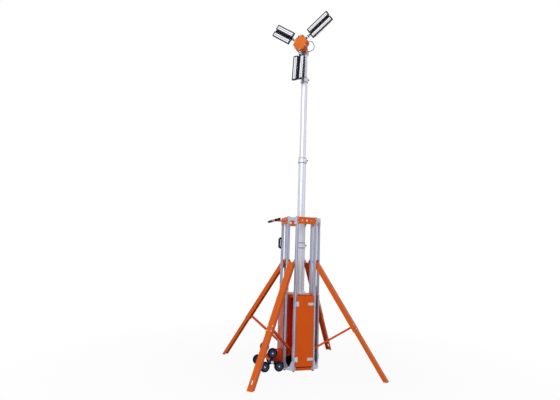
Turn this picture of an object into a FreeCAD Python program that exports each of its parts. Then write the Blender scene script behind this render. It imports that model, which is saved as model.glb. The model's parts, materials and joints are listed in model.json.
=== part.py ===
"""Mobile light tower: an eight-post aluminium frame with a telescopic mast, a three-lamp head,
four folding outrigger legs and a pair of three-wheel stair stars. Millimetres, +Z up, origin on
the ground under the mast. The front door faces -Y and the wheels are on the -X side."""

import FreeCAD, Part
import Sketcher
import math
import os
import re

from FreeCAD import Placement, Rotation, Vector

os.makedirs("parts", exist_ok=True)
doc = FreeCAD.newDocument("LightTower")

# Driving dimensions in millimetres and degrees: alias, value, meaning
SIZES = [
    ("face_pitch", 258, "post spacing across a door face"),
    ("corner_pitch", 128, "post spacing across a leg corner"),
    ("post_half", 16, "half thickness of a post"),
    ("post_reach", 18, "length of a post's face from its bend"),
    ("post_base", 12, "height of the posts' lower ends"),
    ("post_top", 1955, "height of the posts' upper ends"),
    ("groove_mouth", 8, "width of a T-slot's mouth"),
    ("groove_inner", 13, "width of a T-slot inside"),
    ("groove_lip", 3, "thickness of a T-slot's lips"),
    ("groove_depth", 8, "depth of a T-slot"),
    ("groove_place", 7, "distance of a T-slot from the bend"),
    ("stand_radius", 15, "radius of a levelling foot"),
    ("ring_height", 92, "height of a top ring plate"),
    ("ring_thick", 5, "thickness of a top ring plate"),
    ("ring_overhang", 3, "ring plate past the post's middle"),
    ("ring_hole", 12.5, "radius of a ring plate's hole"),
    ("ring_hole_pitch", 66, "spacing of the ring plate's holes"),
    ("ring_corner", 14, "rounding of a ring plate's corners"),
    ("gusset_thick", 4, "thickness of the corner gussets"),
    ("gusset_overhang", 5, "gusset past the post's middle"),
    ("arch_height", 93, "height of a top gusset"),
    ("arch_drop", 6, "top gusset below the posts' tops"),
    ("arch_crown", 42, "metal above a top gusset's arch"),
    ("arch_radius", 42, "radius of a top gusset's arch"),
    ("notch_height", 115, "height of a bottom gusset"),
    ("notch_base", 24, "metal below a bottom gusset's notch"),
    ("rail_height", 34, "height of a bottom rail"),
    ("rail_thick", 24, "depth of a bottom rail"),
    ("floor_thick", 5, "thickness of the base plate"),
    ("well_half", 46, "half width inside a leg well"),
    ("well_wall", 3, "wall of a leg well"),
    ("well_end", 69, "inner end of a leg well from the mast axis"),
    ("deck_top", 940, "height of the deck's top"),
    ("deck_thick", 5, "thickness of the deck"),
    ("deck_notch", 170, "corner notch of the deck from the mast axis"),
    ("skirt_height", 40, "height of the deck's skirt in a corner"),
    ("clip_height", 30, "height of a rubber strut rest"),
    ("clip_length", 34, "length of a rubber strut rest"),
    ("clip_inset", 27, "width of a rubber strut rest"),
    ("panel_base", 60, "height of the doors' lower edges"),
    ("panel_top", 934, "height of the doors' upper edges"),
    ("panel_half", 118, "half width of a door"),
    ("panel_depth", 12, "depth of a door's folded rim"),
    ("panel_sheet", 2, "thickness of a door's sheet"),
    ("panel_gap", 1.5, "gap between a door and the posts"),
    ("panel_bend", 3, "bend radius of a door's folded edges"),
    ("hinge_radius", 3, "radius of a hinge's barrel"),
    ("hinge_offset", 3.5, "hinge axis beside a door's edge"),
    ("hinge_length", 60, "length of a hinge"),
    ("hinge_leaf", 30, "width of a hinge's leaf on the door"),
    ("hinge_sheet", 2.5, "thickness of a hinge's leaf"),
    ("hinge_block", 10, "width of a hinge's block on the post"),
    ("hinge_low", 150, "height of the lower hinge's middle"),
    ("hinge_high", 830, "height of the upper hinge's middle"),
    ("latch_length", 78, "length of a toggle latch"),
    ("latch_height", 34, "height of a toggle latch"),
    ("latch_thick", 9, "thickness of a toggle latch"),
    ("latch_plate", 2.5, "thickness of a toggle latch's base plate"),
    ("latch_lever", 22, "width of a toggle latch's lever"),
    ("latch_lead", 18, "latch's plate past its lever"),
    ("tube_radius", 61, "outer radius of the lowest mast tube"),
    ("tube_step", 8, "radius lost from one mast tube to the next"),
    ("tube_wall", 4, "wall of the mast tubes"),
    ("collar_rise", 8, "collar proud of its tube"),
    ("collar_gap", 0.5, "gap between a collar and the tube in it"),
    ("flange_radius", 98, "radius of the mast's deck flange"),
    ("flange_rim", 8, "height of the deck flange's rim"),
    ("flange_height", 46, "height of the deck flange"),
    ("collar_top_1", 1619, "top of the first mast collar"),
    ("collar_top_2", 2807, "top of the second mast collar"),
    ("collar_top_3", 4006, "top of the third mast collar"),
    ("collar_height", 70, "height of a mast collar"),
    ("collar_bevel", 3, "bevel of a mast collar's edges"),
    ("knob_turn", 320, "angle of the locking stems round the mast"),
    ("knob_boss", 12, "radius of a locking stem's boss"),
    ("knob_boss_out", 6, "locking stem's boss out from its collar"),
    ("knob_stem", 5, "radius of a locking stem"),
    ("knob_stem_out", 20, "locking stem out from its collar"),
    ("overlap_2", 369, "second mast tube inside the first, with the mast up"),
    ("overlap_3", 407, "third mast tube inside the second, with the mast up"),
    ("overlap_4", 956, "fourth mast tube inside the third, with the mast up"),
    ("tube_top_4", 4430, "upper end of the fourth mast tube"),
    ("head_turn", 50, "angle that the lamps face left of the front"),
    ("head_rise", 56, "lamp hub's middle above the fourth mast tube"),
    ("head_front", 159, "lamps' front plane from the mast axis"),
    ("tilt_offset", 52, "tilt axis in front of the mast axis"),
    ("clamp_gap", 0.4, "gap between the mast top and its clamp"),
    ("clamp_wall", 9, "wall of the mast-top clamp"),
    ("clamp_height", 62, "height of the mast-top clamp"),
    ("clamp_cap", 6, "thickness of the clamp's cap"),
    ("yoke_half", 32, "half width between the yoke's plates"),
    ("yoke_thick", 6, "thickness of a yoke plate"),
    ("yoke_end", 25, "radius of a yoke plate's end"),
    ("yoke_foot", 37, "half width of a yoke plate's foot"),
    ("ear_end", 20, "radius of a hub ear's end"),
    ("tilt_pin", 7, "radius of the tilt bolt"),
    ("hub_radius", 116, "radius over the lamp hub's corners"),
    ("hub_depth", 80, "depth of the lamp hub"),
    ("hub_wall", 4, "wall of the lamp hub"),
    ("hub_ear_gap", 0.5, "gap between a hub ear and its yoke plate"),
    ("hub_port", 3.5, "radius of the cable port's bore"),
    ("port_radius", 9, "radius of the cable's bosses"),
    ("port_length", 12, "length of the hub's cable boss"),
    ("port_across", 52, "hub's cable boss beside the hub's middle"),
    ("port_above", 78, "hub's cable boss above the hub's middle"),
    ("gland_reach", 62, "end of the clamp's cable boss from the mast axis"),
    ("gland_below", 22, "clamp's cable boss below the tube's top"),
    ("arm_radius", 11, "radius of a lamp's swivel stub"),
    ("arm_length", 40, "length of the hub's half of a swivel"),
    ("arm_gap", 0.5, "gap in a lamp's swivel"),
    ("lamp_reach", 367, "lamp's middle from the hub's middle"),
    ("lamp_length", 365, "length of a lamp"),
    ("lamp_width", 184, "width of a lamp"),
    ("lamp_depth", 42, "depth of a lamp"),
    ("lamp_rim", 9, "width of a lamp's rim"),
    ("lamp_corner", 12, "rounding of a lamp module's corners"),
    ("lamp_notch", 14, "lamp's middle bar short of its modules"),
    ("lamp_recess", 5, "lens below a lamp's rim"),
    ("lamp_plate", 16, "thickness of a lamp's body plate"),
    ("lamp_bar", 30, "width of the lamp's finned middle bar"),
    ("fin_thick", 3, "thickness of a cooling fin"),
    ("fin_pitch", 40, "spacing of the cooling fins"),
    ("fin_count", 8, "number of a lamp's cooling fins"),
    ("leg_pivot_radius", 250, "leg pivot from the mast axis"),
    ("leg_pivot_height", 1352, "height of the leg pivots"),
    ("leg_foot_radius", 1165, "foot from the mast axis"),
    ("leg_pin", 6, "radius of a leg's pivot pin"),
    ("leg_bore_gap", 0.3, "gap round a leg's pins"),
    ("leg_outside", 22, "leg's outer face from the line through its pivot"),
    ("leg_half", 40, "half width of the upper leg"),
    ("leg_depth", 55, "depth of the upper leg"),
    ("leg_wall", 3, "wall of both leg channels"),
    ("leg_bend", 6, "outer bend radius of the leg channels"),
    ("leg_inner_bend", 2.5, "inner bend radius of the leg channels"),
    ("leg_head", 42, "upper leg above its pivot"),
    ("leg_scoop", 30, "radius of the scoop in the upper leg's end"),
    ("leg_upper_length", 980, "upper leg below its pivot"),
    ("leg_slip", 0.5, "gap between the leg's two channels"),
    ("leg_lower_depth", 44, "depth of the lower leg"),
    ("leg_lower_start", 800, "lower leg's upper end below the pivot"),
    ("leg_slot_width", 12, "width of the stake slot"),
    ("leg_slot_length", 46, "length of the stake slot"),
    ("leg_slot_place", 60, "stake slot above the foot"),
    ("strut_place", 913, "strut pin down the leg from its pivot"),
    ("strut_inside", 10, "strut pin inside the leg's line"),
    ("strut_pin", 5, "radius of a strut's pins"),
    ("strut_half", 15, "half width of a strut"),
    ("strut_depth", 24, "depth of a strut"),
    ("strut_wall", 3, "wall of a strut"),
    ("strut_web_back", 22, "strut's web short of its pins"),
    ("seat_radius", 202, "strut's frame pin from the mast axis"),
    ("seat_height", 240, "height of the strut's frame pin"),
    ("seat_gap", 1, "gap between a strut and its bracket"),
    ("seat_thick", 4, "thickness of a strut bracket"),
    ("seat_width", 54, "width of a strut bracket's ear"),
    ("seat_rise", 60, "bracket above its pin"),
    ("seat_corner", 18, "rounding of a strut bracket's ears"),
    ("seat_foot", 180, "height of the bracket's foot"),
    ("axle_out", 403, "axle from the mast axis"),
    ("axle_height", 119, "height of the axle"),
    ("axle_radius", 10, "radius of the axle"),
    ("axle_sleeve", 15, "radius of the axle's sleeve"),
    ("bracket_place", 100, "axle bracket plate from the middle"),
    ("bracket_thick", 6, "thickness of an axle bracket plate"),
    ("bracket_base", 62, "lower edge of an axle bracket at the panel"),
    ("bracket_top", 215, "upper edge of an axle bracket at the panel"),
    ("star_place", 168, "star plate's middle from the tower's middle"),
    ("star_thick", 8, "thickness of a star plate"),
    ("star_reach", 107, "wheel axle from the star's middle"),
    ("star_arm", 34, "width of a star's arm"),
    ("star_hub", 30, "radius of a star's hub plate"),
    ("star_boss", 19, "radius of a star's boss"),
    ("star_boss_length", 32, "length of a star's boss"),
    ("star_gap", 0.3, "running gap of the stars and wheels"),
    ("wheel_radius", 62.5, "radius of a wheel"),
    ("wheel_width", 32, "width of a wheel"),
    ("wheel_rim", 42, "radius of a wheel's rim"),
    ("wheel_dish", 8, "depth of a wheel's dish"),
    ("wheel_boss", 13, "radius of a wheel's boss"),
    ("wheel_axle", 6, "radius of a wheel's axle"),
    ("wheel_round", 8, "rounding of a tyre's shoulders"),
    ("handle_out", 400, "pull bar from the mast axis"),
    ("handle_drop", 53, "pull bar below the posts' tops"),
    ("handle_middle", -44, "pull bar's middle along the face"),
    ("handle_length", 516, "length of the pull bar"),
    ("handle_radius", 11, "radius of the pull bar"),
    ("handle_boss", 16, "radius of the arm's end round the pull bar"),
    ("handle_arm", 30, "width of the pull bar's arm"),
    ("handle_arm_depth", 20, "depth of the pull bar's arm"),
    ("handle_flange", 64, "width of the arm's flange"),
    ("grip_length", 180, "length of a grip"),
    ("grip_radius", 16, "radius of a grip"),
    ("pull_length", 157, "length of a side handle"),
    ("pull_out", 36, "side handle out from its post"),
    ("pull_radius", 7.5, "radius of a side handle's grip"),
    ("pull_slope", 12, "rise of a side handle's bend"),
    ("pull_foot", 24, "length of a side handle's foot"),
    ("pull_foot_thick", 5, "thickness of a side handle's foot"),
    ("pull_high", 1612, "height of the upper side handle"),
    ("pull_low", 815, "height of the lower side handle"),
    ("battery_height", 330, "height of the battery block"),
    ("battery_inner", 104, "battery block's inner face from the axis"),
    ("battery_outer", 192, "battery block's outer face from the axis"),
    ("battery_clear", 8, "gap between the battery block and the wells"),
    ("cable_radius", 4.5, "radius of the head cable"),
]

sheet = doc.addObject("Spreadsheet::Sheet", "Sizes")
for row, (alias, value, meaning) in enumerate(SIZES, start=1):
    sheet.set(f"A{row}", meaning)
    sheet.set(f"B{row}", str(value))
    sheet.setAlias(f"B{row}", alias)
doc.recompute()
ALIASES = {alias for alias, value, meaning in SIZES}

# Lengths worked out from the driving dimensions, as expressions of the sheet
POST_LINE = "(face_pitch / 2 + corner_pitch / sqrt(2))"
CORNER_LINE = f"(({POST_LINE} + face_pitch / 2) / sqrt(2))"
FACE_OUT = f"({POST_LINE} + post_half)"
FACE_IN = f"({POST_LINE} - post_half)"
CORNER_OUT = f"({CORNER_LINE} + post_half)"
CORNER_IN = f"({CORNER_LINE} - post_half)"
BEND = "(post_half * tan(22.5))"
FLOOR_TOP = "(post_base + rail_height)"
DECK_UNDER = "(deck_top - deck_thick)"
PANEL_BACK = f"({FACE_OUT} + panel_gap)"
PANEL_FACE = f"({PANEL_BACK} + panel_depth)"
HINGE_X = "(panel_half + hinge_offset)"
LEG_LEAN = "(atan((leg_foot_radius - leg_pivot_radius) / leg_pivot_height))"
LEG_LENGTH = "(sqrt(pow(leg_foot_radius - leg_pivot_radius; 2) + pow(leg_pivot_height; 2)))"
STRUT_R = f"(leg_pivot_radius + strut_place * sin({LEG_LEAN}) - strut_inside * cos({LEG_LEAN}))"
STRUT_Z = f"(leg_pivot_height - strut_place * cos({LEG_LEAN}) - strut_inside * sin({LEG_LEAN}))"
STRUT_LEAN = f"(atan(({STRUT_R} - seat_radius) / ({STRUT_Z} - seat_height)))"
STRUT_LENGTH = f"(sqrt(pow({STRUT_R} - seat_radius; 2) + pow({STRUT_Z} - seat_height; 2)))"
HEAD_HEIGHT = "(tube_top_4 + head_rise)"
HANDLE_HEIGHT = "(post_top - handle_drop)"
CLAMP_BASE = "(tube_top_4 + clamp_gap - clamp_height)"
CLAMP_TOP = "(tube_top_4 + clamp_gap + clamp_cap)"
CLAMP_OUTER = "(tube_radius - 3 * tube_step + clamp_gap + clamp_wall)"
HUB_BACK = "(head_front - hub_depth)"
HUB_FLAT = "(hub_radius * cos(30))"
LAMP_INNER = "(lamp_reach - lamp_length / 2)"
LAMP_AXIS = "(head_front - lamp_depth / 2)"

X_AXIS = Vector(1, 0, 0)
Y_AXIS = Vector(0, 1, 0)
Z_AXIS = Vector(0, 0, 1)
PARALLEL = 0.999
LEVEL = Rotation()
ALONG_X = Rotation(Y_AXIS, 90)
ALONG_Y = Rotation(X_AXIS, -90)
PLANES = {"XY": Rotation(), "XZ": Rotation(X_AXIS, 90), "YZ": Rotation(Vector(1, 1, 1), 120)}
NORMALS = {"XY": Z_AXIS, "XZ": Vector(0, -1, 0), "YZ": X_AXIS}

# Quarter turns from the front face and from the front-left corner
SIDES = {"front": 0, "right": 90, "back": 180, "left": 270}
CORNERS = {"front_left": 225, "front_right": 315, "back_right": 45, "back_left": 135}
PANEL_SIDES = ("front", "right", "back")


def sized(expression):
    """The expression with each alias written as a cell of the sheet."""
    def cell(match):
        word = match.group(0)
        return f"Sizes.{word}" if word in ALIASES else word
    return re.sub(r"[A-Za-z_]\w*", cell, str(expression))


def bind(piece, **properties):
    for name, expression in properties.items():
        piece.setExpression(name, sized(expression))


def place(piece, at, turn=LEVEL):
    piece.Placement = Placement(Vector(), turn)
    for axis, expression in zip("xyz", at):
        piece.setExpression(f"Placement.Base.{axis}", sized(expression))


def box(name, x, y, z):
    """A box between three pairs of expressions."""
    piece = doc.addObject("Part::Box", name)
    bind(piece, Length=f"({x[1]}) - ({x[0]})", Width=f"({y[1]}) - ({y[0]})",
         Height=f"({z[1]}) - ({z[0]})")
    place(piece, (x[0], y[0], z[0]))
    return piece


def rod(name, radius, length, at=(0, 0, 0), turn=LEVEL):
    piece = doc.addObject("Part::Cylinder", name)
    bind(piece, Radius=radius, Height=length)
    place(piece, at, turn)
    return piece


def cone(name, low_radius, high_radius, height, at):
    piece = doc.addObject("Part::Cone", name)
    bind(piece, Radius1=low_radius, Radius2=high_radius, Height=height)
    place(piece, at)
    return piece


def span(side, near, far):
    """Two distances from the middle plane as a range on one side of it."""
    return (near, far) if side > 0 else (f"-({far})", f"-({near})")


def fuse(name, pieces):
    joined = doc.addObject("Part::MultiFuse", name)
    joined.Shapes = pieces
    joined.Refine = True
    return joined


def rounded(name, base, radius, along, side=None):
    """The base with its edges along an axis rounded, or only those that lie to one side."""
    doc.recompute()
    amount = float(sheet.getPropertyByName(radius))
    middle = base.Shape.BoundBox.Center
    chosen = []
    for number, edge in enumerate(base.Shape.Edges, start=1):
        first, last = edge.Vertexes[0].Point, edge.Vertexes[-1].Point
        direction = (last - first).normalize()
        beside = side is None or ((first + last) / 2 - middle).dot(side) > amount
        if abs(direction.dot(along)) > PARALLEL and beside:
            chosen.append((number, amount, amount))
    fillet = doc.addObject("Part::Fillet", name)
    fillet.Base = base
    fillet.Edges = chosen
    return fillet


def group(name, pieces):
    gathered = doc.addObject("Part::Compound", name)
    gathered.Links = pieces
    return gathered


def cut(name, base, tools):
    remainder = doc.addObject("Part::Cut", name)
    remainder.Base = base
    remainder.Tool = tools[0] if len(tools) == 1 else fuse(f"{name}_tools", tools)
    return remainder


def tube(name, outer, inner, low, high):
    return cut(name, rod(f"{name}_outer", outer, f"({high}) - ({low})", (0, 0, low)),
               [rod(f"{name}_bore", inner, f"({high}) - ({low}) + 2", (0, 0, f"({low}) - 1"))])


def turned(name, source, degrees):
    """A copy of the source turned about the mast axis."""
    copy = group(name, [source])
    copy.Placement = Placement(Vector(), Rotation(Z_AXIS, degrees))
    return copy


def all_round(name, source, turns):
    return group(name, [turned(f"{name}_{key}", source, angle) for key, angle in turns.items()])


# Where a sketch's corners and rings lie before its constraints move them
SKETCH_START = Vector(300, 200, 0)
SKETCH_SPREAD = 100
RING_START = 5


def sketch(name, corners, start=0, plane="XY", rings=()):
    """A closed outline, with round holes. Each corner is a pair of expressions in the plane, each ring a hole
    given as two expressions of its middle and one of its radius, and start is how far the
    sketch lies along the plane's normal."""
    profile = doc.addObject("Sketcher::SketchObject", name)
    count = len(corners)
    starts = []
    for index in range(count):
        angle = 2 * math.pi * index / count
        spread = Vector(math.cos(angle), math.sin(angle), 0) * SKETCH_SPREAD
        starts.append(SKETCH_START + spread)
    for index in range(count):
        profile.addGeometry(Part.LineSegment(starts[index], starts[(index + 1) % count]))
    for index in range(count):
        profile.addConstraint(Sketcher.Constraint("Coincident", index, 2, (index + 1) % count, 1))
    for index, corner in enumerate(corners):
        for kind, first, expression in zip(("DistanceX", "DistanceY"), starts[index][:2], corner):
            number = profile.addConstraint(Sketcher.Constraint(kind, -1, 1, index, 1, first))
            profile.setExpression(f"Constraints[{number}]", sized(expression))
    for index, (across, up, radius) in enumerate(rings):
        circle = profile.addGeometry(Part.Circle(SKETCH_START, Z_AXIS, RING_START + index))
        for kind, first, expression in (("DistanceX", SKETCH_START.x, across),
                                        ("DistanceY", SKETCH_START.y, up)):
            number = profile.addConstraint(Sketcher.Constraint(kind, -1, 1, circle, 3, first))
            profile.setExpression(f"Constraints[{number}]", sized(expression))
        number = profile.addConstraint(Sketcher.Constraint("Radius", circle, RING_START + index))
        profile.setExpression(f"Constraints[{number}]", sized(radius))
    place(profile, [f"({start}) * ({part})" for part in NORMALS[plane]], PLANES[plane])
    return profile


def outline(name, corners, length, start=0, plane="XY", rings=()):
    """A prism on a sketch, raised along the plane's normal."""
    prism = doc.addObject("Part::Extrusion", name)
    prism.Base = sketch(f"{name}_outline", corners, start, plane, rings)
    prism.DirMode = "Custom"
    prism.Dir = NORMALS[plane]
    prism.Solid = True
    bind(prism, LengthFwd=length)
    return prism


# Frame: eight bent posts with a T-slot in each outer face

def post_corners(side):
    """The post's section round its bend, which lies half a door face to one side."""
    half_mouth = "groove_mouth / 2"
    half_inner = "groove_inner / 2"
    face = [
        (f"-{BEND}", "post_half"),
        (f"groove_place - {half_mouth}", "post_half"),
        (f"groove_place - {half_mouth}", "post_half - groove_lip"),
        (f"groove_place - {half_inner}", "post_half - groove_lip"),
        (f"groove_place - {half_inner}", "post_half - groove_depth"),
        (f"groove_place + {half_inner}", "post_half - groove_depth"),
        (f"groove_place + {half_inner}", "post_half - groove_lip"),
        (f"groove_place + {half_mouth}", "post_half - groove_lip"),
        (f"groove_place + {half_mouth}", "post_half"),
        ("post_reach", "post_half"),
        ("post_reach", "-post_half"),
        (BEND, "-post_half"),
    ]
    bend_x = f"{side} * face_pitch / 2"
    corners = []
    for along, out in face:
        corners.append((f"{bend_x} - {side} * ({along})", f"-{POST_LINE} - ({out})"))
    for along, out in reversed(face[1:-1]):
        corners.append((f"{bend_x} + {side} * (({along}) + ({out})) / sqrt(2)",
                        f"-{POST_LINE} + (({along}) - ({out})) / sqrt(2)"))
    return corners


def make_posts():
    posts = []
    for hand, side in (("left", -1), ("right", 1)):
        post = outline(f"post_{hand}", post_corners(side), "post_top - post_base", "post_base")
        posts.append(all_round(f"posts_{hand}", post, SIDES))
    return group("posts", posts)


def make_post_feet():
    feet = []
    for hand, side in (("left", -1), ("right", 1)):
        foot = rod(f"post_foot_{hand}", "stand_radius", "post_base",
                   (f"{side} * face_pitch / 2", f"-{POST_LINE}", 0))
        feet.append(all_round(f"post_feet_{hand}", foot, SIDES))
    return group("post_feet", feet)


def make_ring_plates():
    """Plates across the posts' tops, with rounded corners and a row of three holes."""
    half = "(face_pitch / 2 + ring_overhang)"
    blank = box("ring_blank", (f"-{half}", half), (f"-{FACE_OUT} - ring_thick", f"-{FACE_OUT}"),
                ("post_top - ring_height", "post_top"))
    holes = [rod(f"ring_hole_{hole}", "ring_hole", "3 * ring_thick",
                 (f"{hole} * ring_hole_pitch", f"-{FACE_OUT} - 2 * ring_thick",
                  "post_top - ring_height / 2"), ALONG_Y) for hole in (-1, 0, 1)]
    plate = cut("ring_plate", rounded("ring_rounded", blank, "ring_corner", Y_AXIS), holes)
    return all_round("ring_plates", plate, SIDES)


def make_top_gussets():
    """Corner plates with a round arch, each between two ring plates."""
    half = "(corner_pitch / 2 + gusset_overhang)"
    top = "(post_top - arch_drop)"
    spring = f"({top} - arch_crown - arch_radius)"
    x = (CORNER_OUT, f"{CORNER_OUT} + gusset_thick")
    plate = box("top_gusset_plate", x, (f"-{half}", half), (f"{top} - arch_height", top))
    arch = rod("arch_round", "arch_radius", "3 * gusset_thick",
               (f"{CORNER_OUT} - gusset_thick", 0, spring), ALONG_X)
    opening = box("arch_opening", (f"{CORNER_OUT} - gusset_thick", f"{CORNER_OUT} + 2 * gusset_thick"),
                  ("-arch_radius", "arch_radius"), (f"{top} - arch_height - arch_drop", spring))
    return all_round("top_gussets", cut("top_gusset", plate, [arch, opening]), CORNERS)


def make_bottom_gussets():
    """Corner plates with a V notch down from the upper edge."""
    half = "(corner_pitch / 2 + gusset_overhang)"
    gap = "(corner_pitch / 2 - post_reach)"
    top = "(post_base + notch_height)"
    corners = [
        (f"-{half}", "post_base"), (half, "post_base"), (half, top), (gap, top),
        (0, "post_base + notch_base"), (f"-{gap}", top), (f"-{half}", top),
    ]
    plate = outline("bottom_gusset", corners, "gusset_thick", CORNER_OUT, "XZ")
    return all_round("bottom_gussets", turned("bottom_gusset_corner", plate, 90), CORNERS)


def make_bottom_rails():
    half = "(face_pitch / 2 - post_reach)"
    rail = box("bottom_rail", (f"-{half}", half),
               (f"-{POST_LINE} - rail_thick / 2", f"-{POST_LINE} + rail_thick / 2"),
               ("post_base", FLOOR_TOP))
    return all_round("bottom_rails", rail, SIDES)


def plate_corners():
    """An octagon that touches the posts' inner faces."""
    near = f"(face_pitch / 2 - {BEND})"
    return [
        (f"-{near}", f"-{FACE_IN}"), (near, f"-{FACE_IN}"),
        (FACE_IN, f"-{near}"), (FACE_IN, near),
        (near, FACE_IN), (f"-{near}", FACE_IN),
        (f"-{FACE_IN}", near), (f"-{FACE_IN}", f"-{near}"),
    ]


def make_base_plate():
    return outline("base_plate", plate_corners(), "floor_thick", f"{FLOOR_TOP} - floor_thick")


def make_leg_wells():
    """U-shaped pockets, open outwards, that take the struts when the legs are folded."""
    out = "(well_half + well_wall)"
    corners = [
        ("well_end - well_wall", f"-{out}"), (CORNER_IN, f"-{out}"), (CORNER_IN, "-well_half"),
        ("well_end", "-well_half"), ("well_end", "well_half"), (CORNER_IN, "well_half"),
        (CORNER_IN, out), ("well_end - well_wall", out),
    ]
    well = outline("leg_well", corners, f"{DECK_UNDER} - {FLOOR_TOP}", FLOOR_TOP)
    return all_round("leg_wells", well, CORNERS)


def make_strut_brackets():
    """Two ears beside each strut's lower pin, each on a foot fixed to the well's side."""
    sides = []
    x = ("seat_radius - seat_width / 2", "seat_radius + seat_width / 2")
    inner = "(strut_half + seat_gap)"
    for hand, side in (("left", -1), ("right", 1)):
        blank = box(f"seat_ear_{hand}", x, span(side, inner, f"{inner} + seat_thick"),
                    ("seat_foot", "seat_height + seat_rise"))
        ear = rounded(f"seat_ear_round_{hand}", blank, "seat_corner", Y_AXIS, Z_AXIS)
        foot = box(f"seat_foot_{hand}", x, span(side, inner, "well_half"),
                   ("seat_foot", "seat_foot + seat_thick"))
        sides.append(fuse(f"seat_side_{hand}", [ear, foot]))
    bore = rod("seat_bore", "strut_pin + leg_bore_gap", "4 * strut_half",
               ("seat_radius", "-2 * strut_half", "seat_height"), ALONG_Y)
    return all_round("strut_brackets", cut("strut_bracket", group("seat_pair", sides), [bore]), CORNERS)


def make_deck():
    """The deck plate round the mast, notched for the folded legs, with a skirt in each notch."""
    plate = outline("deck_plate", plate_corners(), "deck_thick", DECK_UNDER)
    notch = box("deck_notch_space", ("deck_notch", f"{CORNER_OUT} * 2"), ("-well_half", "well_half"),
                (f"{DECK_UNDER} - 1", "deck_top + 1"))
    bore = rod("deck_bore", "tube_radius", "deck_thick + 2", (0, 0, f"{DECK_UNDER} - 1"))
    skirt = box("deck_skirt", ("deck_notch - well_wall", "deck_notch"), ("-well_half", "well_half"),
                (f"{DECK_UNDER} - skirt_height", DECK_UNDER))
    open_plate = cut("deck_open", plate, [all_round("deck_notches", notch, CORNERS), bore])
    return fuse("deck", [open_plate, all_round("deck_skirts", skirt, CORNERS)])


def make_pocket_clips():
    clip = box("pocket_clip", ("deck_notch", "deck_notch + clip_length"),
               ("well_half - clip_inset", "well_half"),
               (f"{DECK_UNDER} - skirt_height - clip_height", f"{DECK_UNDER} - skirt_height"))
    return all_round("pocket_clips", clip, CORNERS)


def make_leg_pivot_pins():
    half = "(corner_pitch / 2 - post_reach)"
    pin = rod("leg_pivot_pin", "leg_pin", f"2 * {half}",
              ("leg_pivot_radius", f"-{half}", "leg_pivot_height"), ALONG_Y)
    return all_round("leg_pivot_pins", pin, CORNERS)


# Doors and the fixed side panel: folded trays over the posts' outer faces

def make_tray(name, low, high):
    blank = box(f"{name}_blank", ("-panel_half", "panel_half"), (f"-{PANEL_FACE}", f"-{PANEL_BACK}"),
                (low, high))
    shell = rounded(f"{name}_bends", blank, "panel_bend", Z_AXIS, Vector(0, -1, 0))
    hollow = box(f"{name}_hollow", ("-panel_half + panel_sheet", "panel_half - panel_sheet"),
                 (f"-{PANEL_FACE} + panel_sheet", f"-{PANEL_BACK} + panel_gap"),
                 (f"({low}) + panel_sheet", f"({high}) - panel_sheet"))
    return cut(name, shell, [hollow])


def make_side_panel():
    """The fixed panel of the wheel side, held off the posts by four pads."""
    tray = make_tray("side_tray", "panel_base", "panel_top - skirt_height")
    pads = []
    for hand, side in (("left", -1), ("right", 1)):
        for level, height in (("low", "hinge_low"), ("high", "hinge_high - skirt_height")):
            pads.append(box(f"side_pad_{hand}_{level}",
                            span(side, "panel_half - hinge_block", "panel_half"),
                            (f"-{PANEL_BACK} - panel_depth / 2", f"-{FACE_OUT}"),
                            (f"{height} - hinge_block", f"{height} + hinge_block")))
    return turned("side_panel", fuse("side_panel_parts", [tray] + pads), SIDES["left"])


HINGE_LEVELS = (("low", "hinge_low"), ("high", "hinge_high"))


def make_door_hardware():
    """The frame's halves of the door hinges and the latches' keepers."""
    pieces = []
    third = "hinge_length / 3"
    for level, height in HINGE_LEVELS:
        block = box(f"hinge_block_{level}", (f"-{HINGE_X} - hinge_offset - hinge_block",
                    f"-{HINGE_X} - hinge_offset"), (f"-{PANEL_FACE}", f"-{FACE_OUT}"),
                    (f"{height} - hinge_length / 2", f"{height} + hinge_length / 2"))
        knuckles = [block]
        for end, low in (("under", f"{height} - hinge_length / 2"),
                         ("over", f"{height} + hinge_length / 2 - {third} + hinge_sheet / 5")):
            tall = f"{third} - hinge_sheet / 5"
            at = (f"-{HINGE_X}", f"-{PANEL_FACE}", low)
            knuckles.append(rod(f"hinge_barrel_{level}_{end}", "hinge_radius", tall, at))
            knuckles.append(box(f"hinge_link_{level}_{end}",
                                (f"-{HINGE_X} - hinge_offset", f"-{HINGE_X}"),
                                (f"-{PANEL_FACE}", f"-{PANEL_FACE} + hinge_radius"),
                                (low, f"{low} + {tall}")))
        pieces.append(fuse(f"hinge_half_{level}", knuckles))
        pieces.append(box(f"latch_keeper_{level}", ("panel_half + panel_gap",
                          "panel_half + panel_gap + hinge_block"),
                          (f"-{PANEL_FACE} - latch_thick", f"-{FACE_OUT}"),
                          (f"{height} - latch_height / 2", f"{height} + latch_height / 2")))
    hardware = group("door_hardware_front", pieces)
    turns = {side: SIDES[side] for side in PANEL_SIDES}
    return all_round("door_hardware", hardware, turns)


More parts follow.
